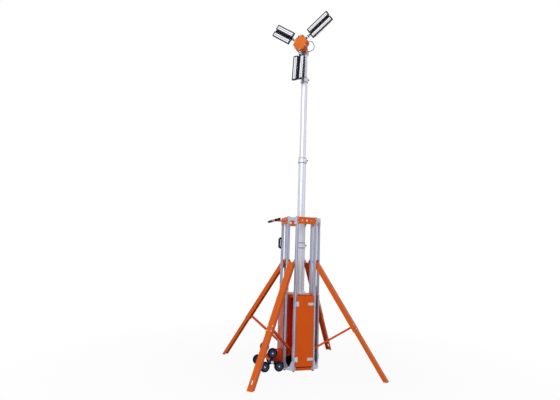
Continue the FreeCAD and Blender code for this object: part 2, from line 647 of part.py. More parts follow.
def make_door_fittings():
    """The door's hinge leaves and toggle latches, on its face."""
    pieces = []
    third = "hinge_length / 3"
    for level, height in HINGE_LEVELS:
        leaf = box(f"leaf_{level}", ("-panel_half", "-panel_half + hinge_leaf"),
                   (f"-{PANEL_FACE} - hinge_sheet", f"-{PANEL_FACE}"),
                   (f"{height} - hinge_length / 2", f"{height} + hinge_length / 2"))
        low = f"({height} - {third} / 2)"
        barrel = rod(f"leaf_barrel_{level}", "hinge_radius", third,
                     (f"-{HINGE_X}", f"-{PANEL_FACE}", low))
        link = box(f"leaf_link_{level}", (f"-{HINGE_X}", "-panel_half"),
                   (f"-{PANEL_FACE} - hinge_sheet", f"-{PANEL_FACE}"), (low, f"{low} + {third}"))
        pieces.append(fuse(f"leaf_half_{level}", [leaf, barrel, link]))
        plate = box(f"latch_plate_{level}", ("panel_half - latch_length", "panel_half"),
                    (f"-{PANEL_FACE} - latch_plate", f"-{PANEL_FACE}"),
                    (f"{height} - latch_height / 2", f"{height} + latch_height / 2"))
        lever = box(f"latch_lever_{level}", ("panel_half - latch_length + latch_lead", "panel_half"),
                    (f"-{PANEL_FACE} - latch_thick", f"-{PANEL_FACE}"),
                    (f"{height} - latch_lever / 2", f"{height} + latch_lever / 2"))
        bend = rod(f"latch_bend_{level}", "latch_thick", "latch_lever",
                   ("panel_half - latch_length + latch_lead", f"-{PANEL_FACE}",
                    f"{height} - latch_lever / 2"))
        front = box(f"latch_front_{level}", ("-panel_half", "panel_half"),
                    (f"-{PANEL_FACE} - 2 * latch_thick", f"-{PANEL_FACE}"),
                    (f"{height} - latch_height", f"{height} + latch_height"))
        nose = doc.addObject("Part::MultiCommon", f"latch_nose_{level}")
        nose.Shapes = [bend, front]
        pieces.append(fuse(f"latch_{level}", [plate, lever, nose]))
    return group("fittings_source", pieces)


def make_battery_block():
    """The battery behind the front door, shaped to the space between two wells."""
    side = "((well_half + well_wall) * sqrt(2) + battery_clear)"
    corners = [
        (f"-(battery_inner - {side})", "-battery_inner"), (f"battery_inner - {side}", "-battery_inner"),
        (f"battery_outer - {side}", "-battery_outer"), (f"-(battery_outer - {side})", "-battery_outer"),
    ]
    return outline("battery_block", corners, "battery_height", FLOOR_TOP)


# Mast: four telescopic tubes with a collar at the top of each

def tube_radius(number):
    return f"(tube_radius - {number - 1} * tube_step)"


def make_mast_tube(number, low, high):
    """A tube with a bevelled collar round its upper end, whose locking stem points to one side."""
    outer = tube_radius(number)
    base = f"({high}) - collar_height"
    reach = f"{outer} + collar_rise"
    middle = f"{base} + collar_height / 2"
    barrel = tube(f"mast_barrel_{number}", outer, f"{outer} - tube_wall", low, base)
    bore = rod(f"collar_bore_{number}", f"{tube_radius(number + 1)} + collar_gap",
               "collar_height + 2 * collar_bevel", (0, 0, f"{base} - collar_bevel"))
    straight = rod(f"collar_body_{number}", reach, "collar_height - 2 * collar_bevel",
                   (0, 0, f"{base} + collar_bevel"))
    bevels = [cone(f"collar_bevel_low_{number}", f"{reach} - collar_bevel", reach, "collar_bevel",
                   (0, 0, base)),
              cone(f"collar_bevel_high_{number}", reach, f"{reach} - collar_bevel", "collar_bevel",
                   (0, 0, f"({high}) - collar_bevel"))]
    boss = rod(f"lock_boss_{number}", "knob_boss", f"{reach} + knob_boss_out", (0, 0, middle), ALONG_X)
    stem = rod(f"lock_stem_{number}", "knob_stem", f"{reach} + knob_stem_out", (0, 0, middle), ALONG_X)
    lock = group(f"lock_{number}", [fuse(f"lock_solid_{number}", [boss, stem])])
    bind(lock, **{"Placement.Rotation.Angle": "knob_turn"})
    collar = cut(f"mast_collar_{number}", fuse(f"collar_solid_{number}", [straight, lock] + bevels), [bore])
    return fuse(f"mast_tube_{number}", [barrel, collar])


def make_mast_flange():
    """The conical flange that holds the lowest tube on the deck."""
    rim = rod("flange_rim_disc", "flange_radius", "flange_rim", (0, 0, "deck_top"))
    skirt = cone("flange_cone", "flange_radius - flange_rim", "tube_radius + collar_rise",
                 "flange_height - flange_rim", (0, 0, "deck_top + flange_rim"))
    bore = rod("flange_bore", "tube_radius", "flange_height + 2", (0, 0, "deck_top - 1"))
    return cut("mast_flange", fuse("flange_body", [rim, skirt]), [bore])


# Head, modelled facing -Y and then turned to face left of the front

def headed(name, source):
    copy = group(name, [source])
    copy.Placement = Placement(Vector(), Rotation(Vector(0, 0, -1), 0))
    bind(copy, **{"Placement.Rotation.Angle": "head_turn"})
    return copy


def make_head_clamp():
    sleeve = tube("clamp_sleeve", CLAMP_OUTER, f"{tube_radius(4)} + clamp_gap", CLAMP_BASE,
                  "tube_top_4 + clamp_gap")
    cap = rod("clamp_cap_disc", CLAMP_OUTER, "clamp_cap", (0, 0, "tube_top_4 + clamp_gap"))
    gland = rod("clamp_gland_rod", "port_radius", f"gland_reach - {CLAMP_OUTER} + clamp_wall / 2",
                (f"{CLAMP_OUTER} - clamp_wall / 2", 0, "tube_top_4 - gland_below"), ALONG_X)
    return headed("head_clamp", fuse("clamp_body", [sleeve, cap, gland]))


def make_head_yoke():
    """Two plates that rise from the clamp to the tilt bolt."""
    corners = [
        ("yoke_foot", CLAMP_BASE), ("yoke_foot", f"{CLAMP_TOP} - clamp_cap"),
        ("-tilt_offset + yoke_end * sin(30)", f"{HEAD_HEIGHT} + yoke_end * cos(30)"),
        ("-tilt_offset - yoke_end * cos(30)", f"{HEAD_HEIGHT} - yoke_end * sin(30)"),
        ("-yoke_foot", CLAMP_BASE),
    ]
    barrel = rod("yoke_clear", CLAMP_OUTER, f"{CLAMP_TOP} - {CLAMP_BASE} + 2",
                 (0, 0, f"{CLAMP_BASE} - 1"))
    plates = []
    for hand, start in (("left", "-yoke_half - yoke_thick"), ("right", "yoke_half")):
        blade = outline(f"yoke_blade_{hand}", corners, "yoke_thick", start, "YZ")
        end = rod(f"yoke_round_{hand}", "yoke_end", "yoke_thick",
                  (start, "-tilt_offset", HEAD_HEIGHT), ALONG_X)
        bore = rod(f"yoke_bore_{hand}", "tilt_pin", "yoke_thick + 2",
                   (f"({start}) - 1", "-tilt_offset", HEAD_HEIGHT), ALONG_X)
        plates.append(cut(f"yoke_plate_{hand}", fuse(f"yoke_solid_{hand}", [blade, end]),
                          [bore, barrel]))
    pin = rod("tilt_bolt", "tilt_pin", "2 * (yoke_half + yoke_thick)",
              ("-yoke_half - yoke_thick", "-tilt_offset", HEAD_HEIGHT), ALONG_X)
    return headed("head_yoke", group("yoke_parts", plates + [pin]))


def hexagon(radius):
    return [(f"({radius}) * {math.cos(math.radians(60 * step)):.6f}",
             f"{HEAD_HEIGHT} + ({radius}) * {math.sin(math.radians(60 * step)):.6f}")
            for step in range(6)]


LAMP_ANGLES = {"right": 32, "left": 143, "bottom": 267}


def make_lamp_hub():
    """The six-sided hub: a hollow box with two ears to the tilt bolt and three swivel stubs."""
    shell = outline("hub_shell", hexagon("hub_radius"), "hub_depth", HUB_BACK, "XZ")
    hollow = outline("hub_hollow", hexagon("hub_radius - hub_wall * 2 / sqrt(3)"),
                     "hub_depth - 2 * hub_wall", f"{HUB_BACK} + hub_wall", "XZ")
    port_at = ("port_across", f"-{HUB_BACK}", f"{HEAD_HEIGHT} + port_above")
    boss = rod("hub_boss", "port_radius", "port_length", port_at, ALONG_Y)
    port = rod("hub_port_hole", "hub_port", "2 * hub_wall + port_length",
               (port_at[0], f"-{HUB_BACK} - 1.5 * hub_wall", port_at[2]), ALONG_Y)
    pieces = [cut("hub_box", fuse("hub_case", [shell, boss]), [hollow, port])]
    inner = "(yoke_half - hub_ear_gap - yoke_thick)"
    for hand, start in (("left", "-yoke_half + hub_ear_gap"), ("right", inner)):
        tab = box(f"hub_ear_{hand}", (start, f"({start}) + yoke_thick"),
                  (f"-{HUB_BACK}", "-tilt_offset"),
                  (f"{HEAD_HEIGHT} - ear_end", f"{HEAD_HEIGHT} + ear_end"))
        end = rod(f"hub_ear_round_{hand}", "ear_end", "yoke_thick",
                  (start, "-tilt_offset", HEAD_HEIGHT), ALONG_X)
        bore = rod(f"hub_ear_bore_{hand}", "tilt_pin + clamp_gap", "yoke_thick + 2",
                   (f"({start}) - 1", "-tilt_offset", HEAD_HEIGHT), ALONG_X)
        pieces.append(cut(f"hub_ear_plate_{hand}", fuse(f"hub_ear_solid_{hand}", [tab, end]), [bore]))
    for name, degrees in LAMP_ANGLES.items():
        pieces.append(lamp_spoke(f"hub_stub_{name}", degrees,
                                 rod(f"hub_stub_rod_{name}", "arm_radius", "arm_length",
                                     (HUB_FLAT, 0, 0), ALONG_X)))
    return headed("lamp_hub", fuse("hub_parts", pieces))


def lamp_spoke(name, degrees, source):
    """The source, modelled along +X from the hub's middle, turned to its place on the head."""
    spoke = group(name, [source])
    place(spoke, (0, f"-{LAMP_AXIS}", HEAD_HEIGHT), Rotation(Vector(0, -1, 0), degrees))
    return spoke


def make_lamp(name, degrees):
    """A lamp along +X: two rounded modules with a lens field each, a middle bar set back between
    them, cooling fins across their backs, and its swivel stub."""
    low, high = LAMP_INNER, "(lamp_reach + lamp_length / 2)"
    half = "(lamp_width / 2)"
    front, back = "-lamp_depth / 2", "lamp_depth / 2"
    plate_back = f"{front} + lamp_recess + lamp_plate"
    modules = []
    for hand, side in (("under", -1), ("over", 1)):
        blank = box(f"{name}_blank_{hand}", (low, high), (front, plate_back),
                    span(side, "lamp_bar / 2", half))
        lens = box(f"{name}_lens_{hand}", (f"{low} + lamp_rim", f"{high} - lamp_rim"),
                   (f"{front} - lamp_recess", f"{front} + lamp_recess"),
                   span(side, "lamp_bar / 2 + lamp_rim", f"{half} - lamp_rim"))
        modules.append(cut(f"{name}_module_{hand}",
                           rounded(f"{name}_round_{hand}", blank, "lamp_corner", Y_AXIS), [lens]))
    bar = box(f"{name}_bar", (f"{low} + lamp_notch", f"{high} - lamp_notch"),
              (f"{front} + lamp_recess", back), ("-lamp_bar / 2 - lamp_rim", "lamp_bar / 2 + lamp_rim"))
    fins = []
    count = int(sheet.fin_count)
    for number in range(count):
        middle = f"lamp_reach + {number - (count - 1) / 2} * fin_pitch"
        fins.append(box(f"{name}_fin_{number}", (f"{middle} - fin_thick / 2", f"{middle} + fin_thick / 2"),
                        (plate_back, back), (f"-{half}", half)))
    stub_start = f"({HUB_FLAT} + arm_length + arm_gap)"
    stub = rod(f"{name}_stub", "arm_radius", f"{low} + lamp_notch - {stub_start}",
               (stub_start, 0, 0), ALONG_X)
    body = fuse(f"{name}_parts", modules + [bar, stub] + fins)
    return headed(f"lamp_{name}", lamp_spoke(f"{name}_spoke", degrees, body))


def rounded_path(points):
    """Straight runs joined by tangent arcs, each as large as its two runs allow, and the arcs' radii."""
    edges = []
    radii = []
    start = points[0]
    for before, corner, after in zip(points, points[1:], points[2:]):
        back, ahead = before - corner, after - corner
        half_turn = (math.pi - back.getAngle(ahead)) / 2
        cut_back = ARC_SHARE * min(back.Length, ahead.Length)
        bend = cut_back / math.tan(half_turn)
        back.normalize()
        ahead.normalize()
        first = corner + back * cut_back
        last = corner + ahead * cut_back
        toward = (back + ahead).normalize()
        middle = corner + toward * (bend / math.cos(half_turn) - bend)
        edges.append(Part.LineSegment(start, first).toShape())
        edges.append(Part.Arc(first, middle, last).toShape())
        start = last
        radii.append(bend)
    edges.append(Part.LineSegment(start, points[-1]).toShape())
    return Part.Wire(edges), radii


def piped(points, radius):
    """A round rod along the points' path."""
    path, radii = rounded_path(points)
    ring = Part.Wire(Part.makeCircle(radius, points[0], points[1] - points[0]))
    return path.makePipeShell([ring], True, False), path.Length, radii


def make_head_cable():
    """A short cable from the hub's port round to the clamp: straight runs and tangent arcs."""
    hub = Vector(0, 0, float(sheet.tube_top_4) + float(sheet.head_rise))
    radius = float(sheet.cable_radius)
    solid, length, radii = piped([hub + Vector(*point) for point in HEAD_CABLE], radius)
    print(f"head cable length {length:.1f}, volume as length {solid.Volume / (math.pi * radius ** 2):.1f}")
    print("head cable bend radii", [round(bend, 1) for bend in radii])
    cable = doc.addObject("Part::Feature", "head_cable")
    cable.Shape = solid
    cable.Placement = Placement(Vector(), Rotation(Z_AXIS, -float(sheet.head_turn)))
    return cable


# Route of the head cable from the hub's boss to the clamp's, before the head is turned,
# with heights from the hub's middle, and an arc's share of the shorter run beside it
HEAD_CABLE = [
    (52, -67, 78),
    (52, -24, 78),
    (80, 8, 86),
    (110, 22, 70),
    (126, 26, 36),
    (138, 26, -6),
    (136, 14, -48),
    (104, 0, -78),
    (62.3, 0, -78),
]
ARC_SHARE = 0.45


# Legs, modelled in the +X direction and then turned to the four corners

def leaned(name, source):
    """The source, modelled hanging from the leg's pivot, leaned out to its place."""
    copy = group(name, [source])
    copy.Placement = Placement(Vector(), Rotation(Vector(0, -1, 0), 0))
    bind(copy, **{"Placement.Rotation.Angle": LEG_LEAN, "Placement.Base.x": "leg_pivot_radius",
                  "Placement.Base.z": "leg_pivot_height"})
    return copy


def channel(name, outside, depth, half, wall, low, high):
    """A U-channel that opens inwards, between two heights."""
    shell = box(f"{name}_shell", (f"({outside}) - ({depth})", outside), (f"-({half})", half), (low, high))
    hollow = box(f"{name}_hollow", (f"({outside}) - ({depth}) - {wall}", f"({outside}) - ({wall})"),
                 (f"-({half}) + ({wall})", f"({half}) - ({wall})"),
                 (f"({low}) - {wall}", f"({high}) + {wall}"))
    return (rounded(f"{name}_bends", shell, "leg_bend", Z_AXIS, X_AXIS),
            rounded(f"{name}_inner_bends", hollow, "leg_inner_bend", Z_AXIS, X_AXIS))


def make_leg_upper():
    shell, hollow = channel("leg_upper", "leg_outside", "leg_depth", "leg_half", "leg_wall",
                            "-leg_upper_length", "leg_head")
    bore = rod("leg_upper_bore", "leg_pin + leg_bore_gap", "3 * leg_half",
               (0, "-1.5 * leg_half", 0), ALONG_Y)
    scoop = rod("leg_upper_scoop", "leg_scoop", "3 * leg_half",
                ("leg_outside - leg_depth / 2", "-1.5 * leg_half", "leg_head + leg_scoop / 2"), ALONG_Y)
    return leaned("leg_upper_source", cut("leg_upper_channel", shell, [hollow, bore, scoop]))


def make_leg_lower():
    outside = "(leg_outside - leg_wall - leg_slip)"
    half = "(leg_half - leg_wall - leg_slip)"
    shell, hollow = channel("leg_lower", outside, "leg_lower_depth", half, "leg_wall",
                            f"-{LEG_LENGTH} - leg_depth", "-leg_lower_start")
    slot = box("leg_slot", (f"{outside} - 2 * leg_wall", f"{outside} + 1"),
               ("-leg_slot_width / 2", "leg_slot_width / 2"),
               (f"-{LEG_LENGTH} + leg_slot_place", f"-{LEG_LENGTH} + leg_slot_place + leg_slot_length"))
    pin = rod("strut_top_pin", "strut_pin", f"2 * ({half} - leg_wall)",
              ("-strut_inside", f"-{half} + leg_wall", "-strut_place"), ALONG_Y)
    body = cut("leg_lower_channel", shell, [hollow, slot])
    leaning = leaned("leg_lower_leaned", fuse("leg_lower_body", [body, pin]))
    ground = box("ground_space", (0, "2 * leg_foot_radius"), ("-2 * leg_half", "2 * leg_half"),
                 ("-leg_upper_length", 0))
    return cut("leg_lower_source", leaning, [ground])


def make_strut():
    """A channel strut from the lower leg's pin down to the bracket in the well."""
    radius = "(strut_depth / 2)"
    pieces = []
    for hand, low in (("left", "-strut_half"), ("right", "strut_half - strut_wall")):
        side = box(f"strut_side_{hand}", (f"-{radius}", radius), (low, f"({low}) + strut_wall"),
                   (f"-{STRUT_LENGTH}", 0))
        ends = [rod(f"strut_end_{hand}_{end}", radius, "strut_wall", (0, low, height), ALONG_Y)
                for end, height in (("top", 0), ("base", f"-{STRUT_LENGTH}"))]
        pieces.append(fuse(f"strut_flange_{hand}", [side] + ends))
    web = box("strut_web", (f"-{radius}", f"-{radius} + strut_wall"), ("-strut_half", "strut_half"),
              (f"-{STRUT_LENGTH} + strut_web_back", "-strut_web_back"))
    bore = rod("strut_bore", "strut_pin + leg_bore_gap", "4 * strut_half",
               (0, "-2 * strut_half", 0), ALONG_Y)
    base_pin = rod("strut_base_pin", "strut_pin", "2 * strut_half",
                   (0, "-strut_half", f"-{STRUT_LENGTH}"), ALONG_Y)
    body = fuse("strut_body", [cut("strut_channel", fuse("strut_sides", pieces + [web]), [bore]),
                               base_pin])
    strut = group("strut_source", [body])
    strut.Placement = Placement(Vector(), Rotation(Y_AXIS, 0))
    bind(strut, **{"Placement.Rotation.Angle": STRUT_LEAN, "Placement.Base.x": STRUT_R,
                   "Placement.Base.z": STRUT_Z})
    return strut


# Wheels: an axle behind the side panel's brackets, with a three-wheel star at each end

def make_axle_bracket():
    corners = [
        (f"-{PANEL_FACE}", "bracket_base"), (f"-{PANEL_FACE}", "bracket_top"),
        (f"-{PANEL_FACE} - bracket_base", "bracket_top"), ("-axle_out", "axle_height + 2 * axle_sleeve"),
        ("-axle_out - axle_sleeve", "axle_height"), ("-axle_out", "axle_height - axle_sleeve"),
    ]
    pieces = []
    for hand, start in (("front", "bracket_place - bracket_thick"), ("back", "-bracket_place")):
        pieces.append(outline(f"bracket_plate_{hand}", corners, "bracket_thick", start, "XZ"))
    sleeve = rod("axle_sleeve_rod", "axle_sleeve", "2 * bracket_place",
                 ("-axle_out", "-bracket_place", "axle_height"), ALONG_Y)
    back = box("bracket_back", (f"-{PANEL_FACE} - bracket_thick", f"-{PANEL_FACE}"),
               ("-bracket_place", "bracket_place"), ("bracket_base", "bracket_top"))
    bore = rod("axle_sleeve_bore", "axle_radius", "2 * bracket_place + 2",
               ("-axle_out", "-bracket_place - 1", "axle_height"), ALONG_Y)
    return cut("axle_bracket", fuse("bracket_parts", pieces + [sleeve, back]), [bore])


def make_axle():
    reach = "(star_place + star_thick / 2 + wheel_width)"
    return rod("axle", "axle_radius", f"2 * {reach}", ("-axle_out", f"-{reach}", "axle_height"), ALONG_Y)


WHEEL_ANGLES = {"top": 90, "outer": 210, "inner": 330}


def wheel_middle(angle):
    turn = math.radians(angle)
    return (f"-axle_out + star_reach * {math.cos(turn):.6f}",
            f"axle_height + star_reach * {math.sin(turn):.6f}")


def make_star(name, side):
    """A star of three arms, with a boss on the axle and a stub for each wheel on its outer face."""
    inner = f"{side} * star_place - star_thick / 2"
    pieces = [rod(f"{name}_plate", "star_hub", "star_thick", ("-axle_out", inner, "axle_height"), ALONG_Y)]
    start = inner if side > 0 else f"({inner}) + star_thick - star_boss_length"
    pieces.append(rod(f"{name}_boss", "star_boss", "star_boss_length",
                      ("-axle_out", start, "axle_height"), ALONG_Y))
    for key, angle in WHEEL_ANGLES.items():
        x, z = wheel_middle(angle)
        arm = doc.addObject("Part::Box", f"{name}_arm_{key}")
        bind(arm, Length="star_reach", Width="star_thick", Height="star_arm")
        arm_group = group(f"{name}_arm_place_{key}", [arm])
        place(arm, (0, inner, "-star_arm / 2"))
        place(arm_group, ("-axle_out", 0, "axle_height"), Rotation(Vector(0, -1, 0), angle))
        pieces.append(arm_group)
        pieces.append(rod(f"{name}_eye_{key}", "star_arm / 2", "star_thick", (x, inner, z), ALONG_Y))
        length = "star_thick / 2 + wheel_width + star_gap"
        stub_start = f"{side} * star_place" if side > 0 else f"{side} * star_place - ({length})"
        pieces.append(rod(f"{name}_stub_{key}", "wheel_axle", length, (x, stub_start, z), ALONG_Y))
    bore = rod(f"{name}_bore", "axle_radius + star_gap", "4 * wheel_width",
               ("-axle_out", f"{side} * star_place - 2 * wheel_width", "axle_height"), ALONG_Y)
    return cut(name, fuse(f"{name}_parts", pieces), [bore])


def make_wheel(name, side, angle):
    """A solid tyre on a dished rim, revolved about its own axle."""
    x, z = wheel_middle(angle)
    inner = "(star_place + star_thick / 2 + star_gap)"
    section = [
        ("wheel_axle + star_gap", "wheel_width"), ("wheel_axle + star_gap", 0),
        ("wheel_boss", 0), ("wheel_boss", "wheel_dish"),
        ("wheel_rim - wheel_dish / 2", "wheel_dish"), ("wheel_rim", 0),
        ("wheel_radius - wheel_round", 0), ("wheel_radius", "wheel_round"),
        ("wheel_radius", "wheel_width - wheel_round"), ("wheel_radius - wheel_round", "wheel_width"),
        ("wheel_rim", "wheel_width"), ("wheel_rim - wheel_dish / 2", "wheel_width - wheel_dish"),
        ("wheel_boss", "wheel_width - wheel_dish"), ("wheel_boss", "wheel_width"),
    ]
    disc = doc.addObject("Part::Revolution", f"{name}_disc")
    disc.Source = sketch(f"{name}_section", section)
    disc.Axis = Y_AXIS
    disc.Base = Vector()
    disc.Angle = 360
    disc.Solid = True
    wheel = group(name, [disc])
    start = f"{side} * {inner}" if side > 0 else f"{side} * {inner} - wheel_width"
    place(wheel, (x, start, z))
    return wheel


# Handles

def make_handle_arm():
    top = f"{HANDLE_HEIGHT} + handle_arm_depth / 2"
    low = f"{HANDLE_HEIGHT} - handle_arm_depth / 2"
    y = ("handle_middle - handle_arm / 2", "handle_middle + handle_arm / 2")
    plate = f"({FACE_OUT} + ring_thick)"
    arm = box("handle_arm_bar", ("-handle_out", f"-{plate}"), y, (low, top))
    flange = box("handle_arm_flange", (f"-{plate} - ring_thick", f"-{plate}"),
                 ("handle_middle - handle_flange / 2", "handle_middle + handle_flange / 2"),
                 (f"{HANDLE_HEIGHT} - handle_flange / 2", f"{HANDLE_HEIGHT} + handle_flange / 2"))
    clear = rod("handle_arm_clear", "handle_radius", "2 * handle_arm",
                ("-handle_out", "handle_middle - handle_arm", HANDLE_HEIGHT), ALONG_Y)
    end = rod("handle_arm_end", "handle_boss", "handle_arm",
              ("-handle_out", "handle_middle - handle_arm / 2", HANDLE_HEIGHT), ALONG_Y)
    return cut("handle_arm", fuse("handle_arm_parts", [arm, flange, end]), [clear])


def make_handle_bar():
    return rod("handle_bar", "handle_radius", "handle_length",
               ("-handle_out", "handle_middle - handle_length / 2", HANDLE_HEIGHT), ALONG_Y)


def make_handle_grips():
    grips = []
    for hand, start in (("front", "handle_middle - handle_length / 2"),
                        ("back", "handle_middle + handle_length / 2 - grip_length")):
        at = ("-handle_out", start, HANDLE_HEIGHT)
        outer = rod(f"grip_{hand}_outer", "grip_radius", "grip_length", at, ALONG_Y)
        bore = rod(f"grip_{hand}_bore", "handle_radius", "grip_length", at, ALONG_Y)
        grips.append(cut(f"grip_{hand}", outer, [bore]))
    return group("handle_grips", grips)


def make_pull_handles():
    """Bow handles on the rear post of the wheel side, each a bent rod on two feet."""
    size = {name: float(sheet.getPropertyByName(name)) for name in
            ("pull_out", "pull_radius", "pull_slope", "pull_length", "pull_foot_thick", "panel_half",
             "panel_gap", "face_pitch", "corner_pitch", "post_half")}
    face = size["face_pitch"] / 2 + size["corner_pitch"] / math.sqrt(2) + size["post_half"]
    across = size["panel_half"] + size["panel_gap"] + size["pull_radius"]
    foot, out = face + size["pull_foot_thick"], face + size["pull_out"] - size["pull_radius"]
    handles = []
    for level, height in (("high", float(sheet.pull_high)), ("low", float(sheet.pull_low))):
        end = size["pull_length"] / 2 - size["pull_radius"]
        points = [Vector(-radius, across, height + side * reach) for radius, side, reach in (
            (foot, -1, end), (out, -1, end - size["pull_slope"]),
            (out, 1, end - size["pull_slope"]), (foot, 1, end))]
        bow = doc.addObject("Part::Feature", f"pull_bow_{level}")
        bow.Shape = piped(points, size["pull_radius"])[0]
        handles.append(bow)
        for side in (-1, 1):
            middle = f"pull_{level} + {side} * (pull_length / 2 - pull_radius)"
            handles.append(box(f"pull_foot_{level}_{side}",
                               (f"-{FACE_OUT} - pull_foot_thick - pull_radius", f"-{FACE_OUT}"),
                               ("panel_half + panel_gap", "panel_half + panel_gap + 2 * pull_radius"),
                               (f"{middle} - pull_foot / 2", f"{middle} + pull_foot / 2")))
    return fuse("pull_handles", handles)


def make_parts():
    """Every sub-part of the tower, by its node's name."""
    parts = [
        make_posts(), make_post_feet(), make_ring_plates(), make_top_gussets(),
        make_bottom_gussets(), make_bottom_rails(), make_base_plate(), make_leg_wells(),
        make_strut_brackets(), make_deck(), make_pocket_clips(), make_leg_pivot_pins(),
        make_side_panel(), make_door_hardware(), make_battery_block(),
        make_mast_tube(1, FLOOR_TOP, "collar_top_1"), make_mast_flange(),
        make_mast_tube(2, "collar_top_1 - overlap_2", "collar_top_2"),
        make_mast_tube(3, "collar_top_2 - overlap_3", "collar_top_3"),
        tube("mast_tube_4", tube_radius(4), f"{tube_radius(4)} - tube_wall",
             "collar_top_3 - overlap_4", "tube_top_4"),
        make_head_clamp(), make_head_yoke(), make_lamp_hub(), make_head_cable(),
        make_axle_bracket(), make_axle(), make_handle_arm(), make_handle_bar(),
        make_handle_grips(), make_pull_handles(),
    ]
    tray = make_tray("door_tray", "panel_base", "panel_top")
    fittings = make_door_fittings()
    for side in PANEL_SIDES:
        parts.append(turned(f"door_{side}", tray, SIDES[side]))
        parts.append(turned(f"door_fittings_{side}", fittings, SIDES[side]))
    for name, degrees in LAMP_ANGLES.items():
        parts.append(make_lamp(name, degrees))
    for label, source in (("leg_upper", make_leg_upper()), ("leg_lower", make_leg_lower()),
                          ("strut", make_strut())):
        for corner, angle in CORNERS.items():
            parts.append(turned(f"{label}_{corner}", source, angle))
    for end, side in (("front", -1), ("back", 1)):
        parts.append(make_star(f"star_{end}", side))
        for key, angle in WHEEL_ANGLES.items():
            parts.append(make_wheel(f"wheel_{end}_{key}", side, angle))
    return parts


def check_document():
    for piece in doc.Objects:
        state = [word for word in piece.State if word in ("Invalid", "Error")]
        if state:
            raise RuntimeError(f"{piece.Label} is {state}")


parts = make_parts()
doc.recompute()
check_document()
for part in parts:
    shape = part.Shape
    if shape.isNull() or not shape.isValid() or not shape.Solids:
        raise RuntimeError(f"{part.Label} has no valid solid")
for part in parts:
    part.Shape.exportStep(f"parts/{part.Label}.step")
print(f"{len(parts)} sub-parts written")
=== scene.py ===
"""Looks of the mobile light tower: finishes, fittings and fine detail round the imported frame.
Metres, +Z up, the front door faces -Y and the wheels are on the -X side."""

import json
import math

import bmesh
import bpy
from mathutils import Matrix, Vector


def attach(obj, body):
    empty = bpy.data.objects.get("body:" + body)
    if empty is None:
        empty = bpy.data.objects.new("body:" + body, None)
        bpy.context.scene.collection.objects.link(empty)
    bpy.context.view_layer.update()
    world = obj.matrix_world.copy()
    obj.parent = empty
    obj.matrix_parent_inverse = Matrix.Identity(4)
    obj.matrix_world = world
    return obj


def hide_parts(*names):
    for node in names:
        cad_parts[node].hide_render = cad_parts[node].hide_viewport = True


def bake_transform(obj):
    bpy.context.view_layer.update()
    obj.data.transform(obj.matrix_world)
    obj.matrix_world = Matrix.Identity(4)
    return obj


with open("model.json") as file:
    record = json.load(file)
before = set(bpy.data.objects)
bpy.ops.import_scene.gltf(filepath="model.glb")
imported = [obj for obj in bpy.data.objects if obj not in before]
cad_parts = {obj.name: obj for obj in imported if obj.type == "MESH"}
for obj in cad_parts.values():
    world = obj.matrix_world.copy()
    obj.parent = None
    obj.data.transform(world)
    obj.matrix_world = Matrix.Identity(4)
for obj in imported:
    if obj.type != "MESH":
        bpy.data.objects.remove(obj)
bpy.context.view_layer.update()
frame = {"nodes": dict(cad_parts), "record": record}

MM = 0.001

# The tower's driving sizes, in millimetres
POST_LINE = 219.51
FACE_OUT = 235.51
CORNER_OUT = 262.44
PANEL_FACE = 249.01
POST_HALF = 16
FACE_PITCH = 258
CORNER_PITCH = 128
POST_TOP = 1955
HEAD_TURN_DEGREES = 50
HEAD_HEIGHT = 4486
TILT_AXIS = 52
LAMP_AXIS = 138
LAMP_REACH = 367
LAMP_LENGTH = 365
LEG_LEAN = math.radians(34.0892)
LEG_PIVOT_REACH, LEG_PIVOT_HEIGHT = 250, 1352
AXLE_X, AXLE_HEIGHT = -403, 119
STAR_ARM = 107
BAR_REACH, BAR_MIDDLE, BAR_HEIGHT = -400, -44, 1902
SIDES = {"front": 0, "right": 90, "back": 180, "left": 270}
CORNERS = {"front_left": 225, "front_right": 315, "back_right": 45, "back_left": 135}
PANEL_SIDES = ("front", "right", "back")
LAMP_ANGLES = {"right": 32, "left": 143, "bottom": 267}


# Camera, fitted to the photograph

CAMERA_AT = Vector((-1.8895, -5.1725, 1.4174))
HEADING, PITCH, ROLL = 0.2960, 0.1424, 0.0330
PICTURE_WIDTH = 560
FOCAL_LENGTH_PX = 398.17
SENSOR_WIDTH = 36.0
SIGHT_END = 200


def added(name, data):
    """A new object in the scene."""
    thing = bpy.data.objects.new(name, data)
    bpy.context.scene.collection.objects.link(thing)
    return thing


def make_camera():
    ahead = Vector((math.sin(HEADING) * math.cos(PITCH), math.cos(HEADING) * math.cos(PITCH),
                    math.sin(PITCH)))
    level = Vector((math.cos(HEADING), -math.sin(HEADING), 0))
    above = level.cross(ahead)
    right = level * math.cos(ROLL) + above * math.sin(ROLL)
    up = above * math.cos(ROLL) - level * math.sin(ROLL)
    data = bpy.data.cameras.new("camera")
    data.sensor_fit = "HORIZONTAL"
    data.sensor_width = SENSOR_WIDTH
    data.lens = SENSOR_WIDTH * FOCAL_LENGTH_PX / PICTURE_WIDTH
    data.clip_end = SIGHT_END
    camera = added("camera", data)
    turn = Matrix((right, up, -ahead)).transposed().to_4x4()
    camera.matrix_world = Matrix.Translation(CAMERA_AT) @ turn
    bpy.context.scene.camera = camera


make_camera()


# Materials

# A painted highlight lightens the edges where an edge's rounded normal leaves the flat one: the
# span of their dot product
EDGE_RADIUS = 0.0025
EDGE_TURN = (0.80, 0.99)
# Painted shade: the near black colour that the bottom of a well falls to, and the height over
# which it fades in.
PAINTED_SHADE_TONE = (0.012, 0.010, 0.016, 1)
PAINTED_SHADE_FADE = 0.02
LENS_LIGHT = (0.96, 0.97, 1.0, 1)


MATERIALS = {}


def shader(name):
    material = bpy.data.materials.new(name)
    material.use_nodes = True
    return material, material.node_tree.nodes, material.node_tree.links


